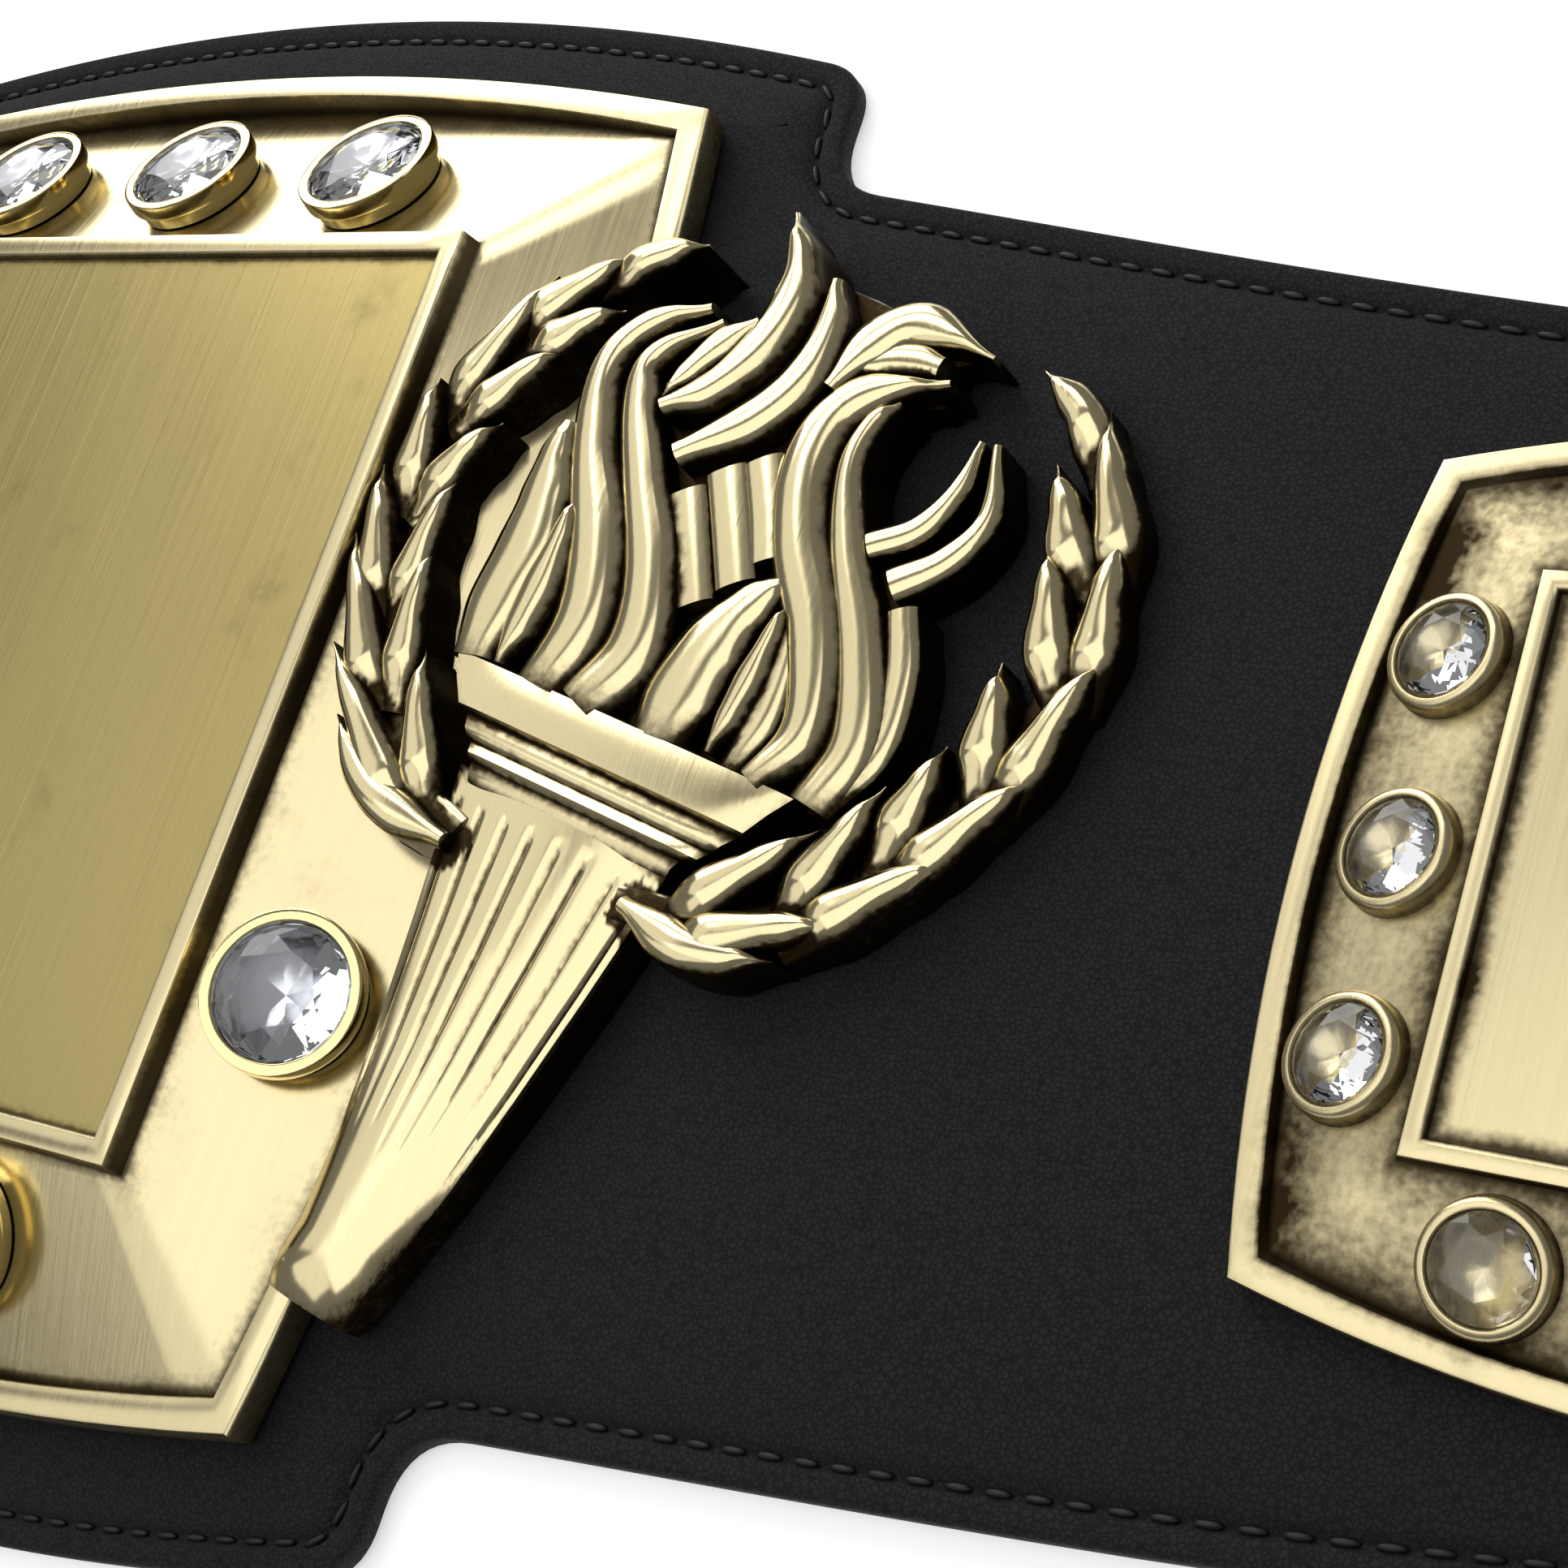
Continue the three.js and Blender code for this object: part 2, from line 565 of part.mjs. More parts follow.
function leafGeometry(node, along, tip) {
  const reach = tip.clone().sub(node);
  const outward = reach.clone().addScaledVector(along, -reach.dot(along));
  const root = node.clone().addScaledVector(along, -LEAF.root);
  const middle = node.clone().addScaledVector(reach, 0.5).addScaledVector(outward, LEAF.bow);
  const spine = [root, middle, tip].map((p) => [p.x, p.y]);
  return ridgeGeometry(spine, leafHalves(), LEAF.rise, LEAF.steps);
}

function branchPieces(branch, rows) {
  const stemHalves = [STEM.half, STEM.half];
  const pieces = [
    ridgeGeometry(spanned(branch.stem), stemHalves, STEM.crown, STEM.steps, TORCH.slabDrop),
    ridgeGeometry(spanned(branch.end), leafHalves(), LEAF.rise, LEAF.steps),
    ridgeGeometry(spanned(branch.skirt), leafHalves(), LEAF.rise, LEAF.steps),
  ];
  rows.forEach((row) => {
    const places = spanned([row.node, row.outer, row.inner]);
    const [node, outer, inner] = places.map((p) => new THREE.Vector2(...p));
    const along = outer.clone().add(inner).multiplyScalar(0.5).sub(node).normalize();
    pieces.push(leafGeometry(node, along, outer), leafGeometry(node, along, inner));
  });
  return pieces;
}

// One moulding of the bowl between its top row and its foot row
function mouldingGeometry(top, foot) {
  return slabGeometry([
    [top.left, top.v], [foot.left, foot.v], [foot.right, foot.v], [top.right, top.v],
  ], -top.rise);
}

function bowlPieces() {
  return BOWL_ROWS.slice(1).map((foot, i) => mouldingGeometry(BOWL_ROWS[i], foot));
}

function handlePieces() {
  const rows = HANDLE_ROWS.map((row) => {
    const edge = faceHeight((row.left + row.right) / 2, row.v) - row.drop;
    return { left: [row.left, row.v], right: [row.right, row.v], edge: edge - HANDLE_CROWN, crest: edge };
  });
  const pieces = [ridgeFromRows(rows.slice().reverse())];
  const [top, , low] = HANDLE_ROWS;
  for (let i = 0; i < FLUTES.count; i += 1) {
    const share = ((2 * i + 1) / FLUTES.count - 1) / 2;
    const across = (row, v, spread) => {
      const middle = (row.left + row.right) / 2;
      return [middle + share * (row.right - row.left) * spread, v];
    };
    const pitch = (FLUTES.topShare * (top.right - top.left)) / FLUTES.count;
    const half = (FLUTES.fill * pitch) / 2;
    const ends = [across(top, FLUTES.top, FLUTES.topShare), across(low, FLUTES.tip, FLUTES.tipShare)];
    const edges = [top.drop, low.drop].map((drop) => drop + FLUTES.edgeDrop * Math.abs(share));
    const fluteRows = ends.map((end, k) => {
      const width = k ? half * FLUTES.tipShare : half;
      const edge = faceHeight(...end) - edges[k] - FLUTES.rise;
      const [u, v] = end;
      return { left: [u - width, v], right: [u + width, v], edge, crest: edge + 2 * FLUTES.rise };
    });
    pieces.push(ridgeFromRows(fluteRows.reverse()));
  }
  return pieces;
}

// The space of the main plate with its clearance, taken out where the casting reaches over the plate's edge
function plateClearance() {
  const lift = SEAT_GAP * Math.hypot(1, MAIN.bevelSlope);
  return skin([
    rimLoop(MAIN, -SEAT_GAP, 0),
    rimLoop(MAIN, -SEAT_GAP, MAIN.rimTop + SEAT_GAP),
    rimLoop(MAIN, MAIN.rimWidth, MAIN.rimTop + SEAT_GAP),
    bevelFoot(MAIN, MAIN.rimWidth + MAIN.stepWidth, lift),
    frameLoop(MAIN, -SEAT_GAP, MAIN.frameBase + lift),
    frameLoop(MAIN, -SEAT_GAP, MAIN.frameTop + TORCH.clearAbove),
  ]);
}

function torchGeometry() {
  const tongues = TONGUES.map((tongue) => {
    const halves = tongue.widths.map((share) => share * tongue.half);
    const steps = Math.min(tongue.spine.length - 1, TONGUE_STEPS);
    return ridgeGeometry(spanned(tongue.spine), halves, tongue.rise, steps);
  });
  const pieces = [
    slabGeometry(spanned(FLAME_SLAB).reverse(), TORCH.slabDrop),
    ...tongues,
    ...bowlPieces(),
    ...handlePieces(),
    ...branchPieces(LEFT_BRANCH, LEFT_LEAVES),
    ...branchPieces(RIGHT_BRANCH, RIGHT_LEAVES),
  ];
  const casting = pieces.map((piece) => solid(piece)).reduce((joined, piece) => joined.add(piece));
  return fromSolid(casting.subtract(solid(plateClearance())));
}

// Press studs
function snapPlaces() {
  const x = STRAP.halfLength - SNAP.fromEnd;
  const y = STRAP.endHalfHeight * SNAP.rowShare;
  return [-1, 1].flatMap((end) => [-1, 1].map((row) => ({ x: end * x, y: row * y })));
}

function snapHole() {
  const foot = SNAP.footRadius + SNAP.fit;
  const post = SNAP.postRadius + SNAP.fit;
  const shoulder = SNAP.footTop + SNAP.fit;
  const top = STRAP.padHeight + SNAP.through;
  return turned([
    [0, -SNAP.through], [foot, -SNAP.through], [foot, shoulder], [post, shoulder], [post, top], [0, top],
  ], SNAP.sides);
}

function snapGeometry() {
  const capFoot = STRAP.padHeight + SEAT_GAP;
  const shoulder = [SNAP.capRadius * SNAP.capShoulder, capFoot + SNAP.capHeight * SNAP.shoulderShare];
  return turned([
    [0, SNAP.footBottom], [SNAP.footRadius, SNAP.footBottom], [SNAP.footRadius, SNAP.footTop],
    [SNAP.postRadius, SNAP.footTop], [SNAP.postRadius, capFoot], [SNAP.capRadius, capFoot],
    shoulder, [0, capFoot + SNAP.capHeight],
  ], SNAP.sides);
}

// Materials
const leather = () => new THREE.MeshStandardMaterial({ color: 0x1c1c1d, roughness: 0.55, metalness: 0 });
const brushedGold = () => new THREE.MeshStandardMaterial({ color: 0xd8c886, roughness: 0.28, metalness: 1 });
const castGold = () => new THREE.MeshStandardMaterial({ color: 0xcdb877, roughness: 0.2, metalness: 1 });
const antiqueGold = () => new THREE.MeshStandardMaterial({ color: 0xb79f5e, roughness: 0.35, metalness: 1 });
const bezelGold = () => new THREE.MeshStandardMaterial({ color: 0xe6c84a, roughness: 0.1, metalness: 1 });
const crystal = () => new THREE.MeshStandardMaterial({ color: 0xf4f6fa, roughness: 0.02, metalness: 0 });

// The belt
const belt = new THREE.Group();

function addPiece(name, geometry, material, matrix = new THREE.Matrix4()) {
  const mesh = new THREE.Mesh(geometry, material);
  mesh.name = name;
  mesh.applyMatrix4(matrix);
  belt.add(mesh);
}

function sideStonePlaces() {
  const [rowX, rowY] = frameHalves(SIDE).map((half) => half + SIDE_ROW.fromFrame);
  return [-1, 0, 1].flatMap((step) => {
    const along = step * SIDE_ROW.spacing;
    return [
      { name: `top_${step + 2}`, x: along, y: rowY },
      { name: `bottom_${step + 2}`, x: along, y: -rowY },
      { name: `inner_${step + 2}`, x: -rowX, y: along },
      { name: `outer_${step + 2}`, x: rowX, y: along },
    ];
  });
}

function sidePlateGeometry() {
  const cups = sideStonePlaces().map(({ x, y }) => sideBezelGeometry().applyMatrix4(onBevel(SIDE, x, y, 0)));
  return fromSolid(cups.reduce((plate, cup) => plate.add(solid(cup)), solid(plateGeometry(SIDE))));
}

addPiece('strap', strapGeometry(), leather());
addPiece('main_plate', plateGeometry(MAIN), brushedGold());

MAIN_STONE_ROWS.forEach(({ name, ...place }) => {
  const seat = onBevel(MAIN, ...bandPoint(MAIN, place), SEAT_GAP);
  addPiece(`main_bezel_${name}`, mainBezelGeometry(), bezelGold(), seat);
  addPiece(`main_stone_${name}`, mainStoneGeometry(), crystal(), seat);
});

const torch = torchGeometry();
addPiece('torch_right', torch, castGold());
addPiece('torch_left', mirroredX(torch), castGold());

const sidePlate = sidePlateGeometry();
addPiece('side_plate_right', sidePlate, antiqueGold());
addPiece('side_plate_left', mirroredX(sidePlate), antiqueGold());

sideStonePlaces().forEach(({ name, x, y }) => {
  const stone = sideStoneGeometry().applyMatrix4(onBevel(SIDE, x, y, SEAT_GAP));
  addPiece(`side_stone_right_${name}`, stone, crystal());
  addPiece(`side_stone_left_${name}`, mirroredX(stone), crystal());
});

snapPlaces().forEach(({ x, y }, i) => {
  addPiece(`snap_${i + 1}`, snapGeometry().translate(x, y, 0), castGold());
});

export default belt;
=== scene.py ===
import math

import bpy
from mathutils import Matrix, Vector


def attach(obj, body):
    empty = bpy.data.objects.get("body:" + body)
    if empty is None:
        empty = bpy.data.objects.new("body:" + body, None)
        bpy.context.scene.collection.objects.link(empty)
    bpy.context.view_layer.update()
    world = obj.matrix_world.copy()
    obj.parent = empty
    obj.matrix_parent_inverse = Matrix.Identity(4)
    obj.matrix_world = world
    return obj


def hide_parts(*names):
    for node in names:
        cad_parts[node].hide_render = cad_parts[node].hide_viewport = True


bl_info = {
    "name": "Championship Title Belt",
    "version": (1, 0, 0),
    "blender": (4, 5, 0),
    "location": "3D View > Sidebar > Title Belt",
    "description": "Builds a title belt: padded strap, gold plates, torch castings and cut stones",
    "category": "Object",
}

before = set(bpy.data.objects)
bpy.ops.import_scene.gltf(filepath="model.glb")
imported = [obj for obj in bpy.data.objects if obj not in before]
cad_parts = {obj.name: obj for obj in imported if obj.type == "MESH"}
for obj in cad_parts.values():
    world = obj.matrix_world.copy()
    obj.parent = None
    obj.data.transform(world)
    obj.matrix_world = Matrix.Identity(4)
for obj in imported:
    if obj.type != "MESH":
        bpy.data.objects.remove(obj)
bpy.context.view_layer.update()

# Sizes are in millimetres and are placed in metres
MM = 0.001
SEAT_GAP = 0.3

# Strap: half outline in plan and taper of its bands as shares, as in the frame
STRAP = {
    "flare_half_length": 117.4, "flare_half_height": 127.4, "flare_arc_radius": 440.0, "flare_corner": 7.0,
    "neck_corner": 10.0, "neck_top": 91.8, "neck_bottom": 92.8, "half_length": 620.0, "end_half_height": 46.0,
    "end_corner": 26.0, "pad_top": 6.4,
}
BAND_ROWS = [
    {"name": "beside the flare", "along": 0.0, "top": 1.0, "bottom": 1.0},
    {"name": "under the side plate", "along": 0.224, "top": 0.577, "bottom": 0.735},
    {"name": "behind the side plate", "along": 0.433, "top": 0.306, "bottom": 0.385},
    {"name": "start of the fastening end", "along": 0.702, "top": 0.11, "bottom": 0.13},
    {"name": "end", "along": 1.0, "top": 0.0, "bottom": 0.0},
]
# Section of the strap from its outer edge inward: edge fold, flat hem, sunk seam and padded face
STRAP_SECTION = [
    {"name": "back edge", "inset": 0.3, "height": 0.0},
    {"name": "fold foot", "inset": 0.0, "height": 0.3},
    {"name": "fold side", "inset": 0.0, "height": 2.7},
    {"name": "fold round", "inset": 0.15, "height": 3.2},
    {"name": "fold crest", "inset": 0.6, "height": 3.55},
    {"name": "fold top", "inset": 1.2, "height": 3.6},
    {"name": "hem", "inset": 2.9, "height": 3.5},
    {"name": "hem lip", "inset": 3.5, "height": 3.25},
    {"name": "seam bank", "inset": 3.95, "height": 2.8},
    {"name": "seam bed", "inset": 4.3, "height": 2.65},
    {"name": "seam far bank", "inset": 4.65, "height": 2.85},
    {"name": "puff foot", "inset": 5.1, "height": 3.3},
    {"name": "puff side", "inset": 6.0, "height": 3.75},
    {"name": "puff shoulder", "inset": 7.6, "height": 4.2},
    {"name": "puff crown", "inset": 9.8, "height": 4.6},
    {"name": "puff top", "inset": 12.6, "height": 4.97},
    {"name": "outer face", "inset": 16.0, "height": 5.35},
    {"name": "face edge", "inset": 20.0, "height": 5.7},
    {"name": "face", "inset": 25.0, "height": 6.03},
    {"name": "inner face", "inset": 31.0, "height": 6.26},
    {"name": "flat face", "inset": 38.0, "height": 6.4},
]
SEAM_INSET = 4.3
SEAM_HEIGHT = 3.1
FLARE_STEPS = 28
CORNER_STEPS = 10
TAPER_STEPS = 36

# Plates: flat rim, step, bevel bands that rise to a raised frame, and a sunk panel
MAIN = {
    "half_x": 97.9, "half_y": 100.2, "bulge_x": 8.0, "bulge_y": 10.0, "band_x": 27.0, "band_y": 27.5,
    "centre_x": 0.0, "centre_y": 0.0, "rim_top": 12.2, "edge": 0.7, "rim": 4.0, "step": 0.9, "slope": 0.34,
    "frame_base": 18.9, "frame_top": 22.9, "frame_width": 3.7, "panel_depth": 1.5, "draft": 0.2,
}
SIDE = {
    "half_x": 51.9, "half_y": 49.7, "bulge_x": 5.3, "bulge_y": 6.2, "band_x": 16.5, "band_y": 15.4,
    "centre_x": 275.4, "centre_y": -1.9, "rim_top": 9.4, "edge": 0.4, "rim": 3.1, "step": 0.8, "slope": 0.28,
    "frame_base": 12.8, "frame_top": 14.0, "frame_width": 2.6, "panel_depth": 1.0, "draft": 0.2,
}
ARC_STEPS = 24

# How much further the patina of an aged plate reaches, loop by loop from the foot to the panel
AGE_SHARES = (
    1, 1, 0.5, 0, 0, 0.3, 0.8, 1, 1, 1, 1, 0.85, 0.65, 0.45, 0.65, 0.9, 1, 1, 1, 1, 0.1, 0, 0, 0.3, 1, 1, 1,
    0.6, 0,
)

# Cut stones and their bezels
MAIN_STONE = {"radius": 9.6, "table": 5.5, "crown": 1.7, "pavilion": 3.7, "girdle": 4.3, "belt": 0.25}
SIDE_STONE = {"radius": 5.7, "table": 3.4, "crown": 1.0, "pavilion": 1.6, "girdle": 2.2, "belt": 0.2}
MAIN_STONE_ROWS = [
    {"name": "top_1", "side": (0, 1), "along": -0.415, "out": 0.435},
    {"name": "top_2", "side": (0, 1), "along": 0.0, "out": 0.435},
    {"name": "top_3", "side": (0, 1), "along": 0.415, "out": 0.435},
    {"name": "bottom_1", "side": (0, -1), "along": -0.415, "out": 0.435},
    {"name": "bottom_2", "side": (0, -1), "along": 0.0, "out": 0.435},
    {"name": "bottom_3", "side": (0, -1), "along": 0.415, "out": 0.435},
    {"name": "right", "side": (1, 0), "along": -0.437, "out": 0.488},
    {"name": "left", "side": (-1, 0), "along": -0.437, "out": 0.488},
]
SIDE_ROW = {"spacing": 24.0, "from_frame": 8.7}
MAIN_BEZEL_PROFILE = [
    {"name": "seat centre", "radius": 0.0, "height": 0.3},
    {"name": "seat edge", "radius": 9.7, "height": 3.9},
    {"name": "inner wall", "radius": 9.9, "height": 4.6},
    {"name": "inner lip", "radius": 10.05, "height": 4.95},
    {"name": "ring inside", "radius": 10.2, "height": 5.0},
    {"name": "ring outside", "radius": 11.35, "height": 5.0},
    {"name": "outer lip", "radius": 11.62, "height": 4.9},
    {"name": "outer round", "radius": 11.7, "height": 4.6},
    {"name": "cup side", "radius": 11.7, "height": 2.7},
    {"name": "cup round", "radius": 11.6, "height": 2.3},
    {"name": "cup neck", "radius": 10.9, "height": 1.9},
    {"name": "foot", "radius": 10.7, "height": 0.0},
    {"name": "foot centre", "radius": 0.0, "height": 0.0},
]
SIDE_BEZEL_PROFILE = [
    {"name": "seat centre", "radius": 0.0, "height": 0.3},
    {"name": "seat edge", "radius": 5.75, "height": 2.0},
    {"name": "inner wall", "radius": 5.95, "height": 2.3},
    {"name": "ring inside", "radius": 6.2, "height": 2.6},
    {"name": "ring crown", "radius": 6.7, "height": 2.65},
    {"name": "ring round", "radius": 7.15, "height": 2.35},
    {"name": "ring side", "radius": 7.4, "height": 1.8},
    {"name": "cup side", "radius": 7.5, "height": 0.8},
    {"name": "foot", "radius": 7.7, "height": -1.1},
    {"name": "foot centre", "radius": 0.0, "height": -1.1},
]
BEZEL_SIDES = 56

# Torch casting: u across and v up the torch, in hundredths of its span from the middle of the bowl
TORCH = {
    "beyond_plate": 24.5, "origin_y": -3.0, "lean": 13.2, "face_at_frame": 21.2, "face_slope": 1 / 12,
    "foot": 6.7, "slab_drop": 2.8,
}
HANDLE_ROWS = [
    {"name": "under the collar", "v": -9.6, "left": -19.6, "right": 18.8, "drop": 0.7, "crown": 1.2},
    {"name": "upper third", "v": -30.0, "left": -14.4, "right": 16.4, "drop": 1.4, "crown": 1.4},
    {"name": "middle", "v": -46.0, "left": -11.0, "right": 14.0, "drop": 2.2, "crown": 1.6},
    {"name": "lower third", "v": -60.0, "left": -8.8, "right": 11.4, "drop": 3.0, "crown": 2.0},
    {"name": "below the flutes", "v": -72.0, "left": -8.0, "right": 8.4, "drop": 3.5, "crown": 2.6},
    {"name": "tip", "v": -81.4, "left": -8.2, "right": 5.8, "drop": 4.0, "crown": 1.6},
]
FLUTES = {"count": 7, "top": -12.2, "tip": -60.0, "rise": 0.55, "round": 2.6, "fade": 22.0, "spread": 0.92,
          "start": 1.2, "power": 6, "patina_and_shade": 0.75}
# Face of the bowl and its mouldings down to the collar
# Its patina column darkens the grooves and feet: patina and painted shade
BOWL_ROWS = [
    {"name": "lip", "v": 4.5, "left": -28.0, "right": 32.0, "rise": 0.5, "patina_and_shade": 0.5},
    {"name": "band top", "v": 4.1, "left": -27.6, "right": 31.6, "rise": 1.4, "patina_and_shade": 0.0},
    {"name": "band", "v": 0.8, "left": -25.4, "right": 29.6, "rise": 1.7, "patina_and_shade": 0.0},
    {"name": "band low", "v": -2.5, "left": -22.8, "right": 27.6, "rise": 1.5, "patina_and_shade": 0.0},
    {"name": "band foot", "v": -2.9, "left": -22.3, "right": 27.2, "rise": 0.9, "patina_and_shade": 0.4},
    {"name": "first groove", "v": -3.2, "left": -21.5, "right": 26.4, "rise": 0.3, "patina_and_shade": 0.55},
    {"name": "first moulding top", "v": -3.6, "left": -21.2, "right": 26.2, "rise": 0.5, "patina_and_shade": 0.1},
    {"name": "first moulding", "v": -5.0, "left": -20.4, "right": 25.2, "rise": 0.8, "patina_and_shade": 0.0},
    {"name": "first moulding foot", "v": -6.1, "left": -19.8, "right": 24.2, "rise": 0.3, "patina_and_shade": 0.4},
    {"name": "second groove", "v": -6.4, "left": -19.0, "right": 23.6, "rise": -0.1, "patina_and_shade": 0.55},
    {"name": "second moulding top", "v": -6.8, "left": -18.6, "right": 23.4, "rise": 0.1, "patina_and_shade": 0.1},
    {"name": "second moulding", "v": -7.9, "left": -18.0, "right": 22.8, "rise": 0.5, "patina_and_shade": 0.0},
    {"name": "second moulding foot", "v": -8.7, "left": -17.6, "right": 20.6, "rise": 0.0, "patina_and_shade": 0.5},
    {"name": "collar groove", "v": -9.0, "left": -17.4, "right": 19.8, "rise": -0.5, "patina_and_shade": 0.6},
    {"name": "collar", "v": -10.4, "left": -17.0, "right": 19.2, "rise": -0.5, "patina_and_shade": 0.1},
    {"name": "collar foot", "v": -11.6, "left": -16.8, "right": 18.8, "rise": -1.2, "patina_and_shade": 0.6},
]
BOWL_COLUMNS = 28
BOWL_SHADE_HEIGHT = 8.0
HANDLE_GRID = {"columns": 72, "steps": 84}
# Tip of the handle: where its rounding starts, how far it drops and how sharply
HANDLE_TIP = {"top": -74.0, "drop": 1.8, "power": 2.5}
FLAME_SLAB = [
    (-27, 3.6), (-31.5, 14), (-30.5, 26), (-33.6, 35), (-32.6, 40), (-29, 37), (-33.6, 47), (-33.8, 53),
    (-30, 59), (-24, 61.5), (-17, 60), (-11.6, 67), (-11, 72), (-4.6, 72.6), (5, 71.6), (20, 69), (17, 66),
    (10, 62), (20, 60.8), (14, 58), (13.2, 51), (16.4, 44.6), (22.2, 39.4), (29, 34.5), (36.2, 27), (39, 18),
    (38, 9), (32.5, 3.6),
]
# Each tongue follows its spine from the bowl to its tip; its widths are shares of its half width
TONGUES = [
    {"name": "left bulb", "half": 4.8, "rise": 1.5, "widths": (0.7, 1, 1.05, 0.85, 0.6, 0.3),
     "spine": [(-25.6, 4), (-27.2, 13), (-27.6, 21), (-29.4, 29), (-31.2, 35), (-31.6, 40)]},
    {"name": "left lens", "half": 3.2, "rise": 2.0, "widths": (0.3, 0.9, 1, 0.7, 0.1),
     "spine": [(-20.2, 4.6), (-20.8, 11), (-21.4, 17), (-22.2, 24), (-23.6, 31)]},
    {"name": "outer left", "half": 4.4, "rise": 2.0, "widths": (0.9, 1.05, 1, 0.8, 0.65, 0.55, 0.2),
     "spine": [(-13, 4), (-12.5, 15), (-17.5, 26), (-26, 38), (-31, 49), (-28.6, 57), (-20, 62.6)]},
    {"name": "inner left", "half": 4.2, "rise": 1.9, "widths": (1, 1.1, 0.95, 0.8, 0.7, 0.5, 0.15),
     "spine": [(-5.6, 4), (-2.6, 14), (-7, 25), (-15.4, 36), (-22.6, 46), (-24.6, 53), (-17.2, 61.2)]},
    {"name": "nested strand", "half": 2.6, "rise": 1.4, "widths": (0.2, 0.8, 1, 0.4),
     "spine": [(-19.6, 48), (-18, 53), (-15.4, 58.4), (-11.4, 62.6)]},
    {"name": "crest", "half": 3.9, "rise": 2.6, "widths": (0.4, 0.8, 1, 1, 0.6, 0.08),
     "spine": [(-18, 46.4), (-12.4, 51.4), (-8.8, 59), (-8.2, 66.6), (-10.6, 73.2), (-15.8, 79.6)]},
    {"name": "crest back", "half": 3.4, "rise": 1.8, "widths": (0.6, 1, 1, 0.8, 0.3),
     "spine": [(-12.4, 41), (-4.4, 49.4), (-0.8, 57), (-0.8, 65), (-3.4, 71.6)]},
    {"name": "shoulder", "half": 3.4, "rise": 1.4, "widths": (0.4, 1, 0.9, 0.1),
     "spine": [(4.2, 57), (6.4, 65), (12, 69.6), (24.6, 68)]},
    {"name": "shoulder back", "half": 2.2, "rise": 0.8, "widths": (0.3, 1, 1, 0.7),
     "spine": [(4.6, 60), (9, 63.2), (13.6, 64.6), (18, 64.6)]},
    {"name": "near bar", "half": 2.8, "rise": 0.6, "widths": (1, 1, 1),
     "spine": [(-8.4, 36.6), (-3, 29.4), (2.2, 22.4)]},
    {"name": "middle bar", "half": 2.9, "rise": 0.7, "widths": (1, 1, 1),
     "spine": [(-4.2, 41.4), (1.4, 34), (6.6, 27)]},
    {"name": "far bar", "half": 3.0, "rise": 0.9, "widths": (1, 1, 1),
     "spine": [(0.4, 44.4), (5.2, 38), (9.4, 31.6)]},
    {"name": "right bulb", "half": 5.2, "rise": 1.6, "widths": (0.8, 1.05, 0.95, 0.65, 0.15),
     "spine": [(8.2, 4), (7.6, 11), (8.2, 18), (10.6, 25), (15.2, 31.4)]},
    {"name": "right bulb side", "half": 2.8, "rise": 1.0, "widths": (0.6, 1, 0.8, 0.15),
     "spine": [(20.4, 4), (20.8, 12), (19.6, 20), (16.4, 28)]},
    {"name": "right lens", "half": 2.5, "rise": 2.0, "widths": (0.3, 0.9, 1, 0.7, 0.1),
     "spine": [(17, 5), (16.8, 11), (16.6, 16), (16.4, 22), (16.2, 27.6)]},
    {"name": "outer right", "half": 4.0, "rise": 2.1, "widths": (0.6, 0.9, 1, 1, 1, 0.85, 0.15),
     "spine": [(24.6, 4), (27.4, 13), (21, 25.4), (12, 36), (6.8, 47), (9, 56.6), (20.8, 62.8)]},
    {"name": "inner right", "half": 3.3, "rise": 1.6, "widths": (1, 1.1, 1, 0.8, 0.6, 0.5, 0.2),
     "spine": [(33.6, 4), (34.6, 14), (28, 26), (19.4, 37), (13.6, 47), (13.2, 54), (15.6, 58)]},
    {"name": "right edge band", "half": 2.3, "rise": 0.8, "widths": (0.8, 1, 1, 0.9),
     "spine": [(35.4, 5), (38.2, 14), (35.8, 24), (31.2, 32)]},
    {"name": "near hook", "half": 2.0, "rise": 1.1, "widths": (1, 1, 0.75, 0.3),
     "spine": [(22, 38.4), (27.4, 42.8), (29.8, 49.6), (29.6, 56.4)]},
    {"name": "far hook", "half": 2.4, "rise": 1.2, "widths": (1, 0.9, 0.7, 0.3),
     "spine": [(28, 34.6), (33.4, 40), (35.8, 47.4), (31.9, 56.6)]},
]
FULLNESS = 1.12
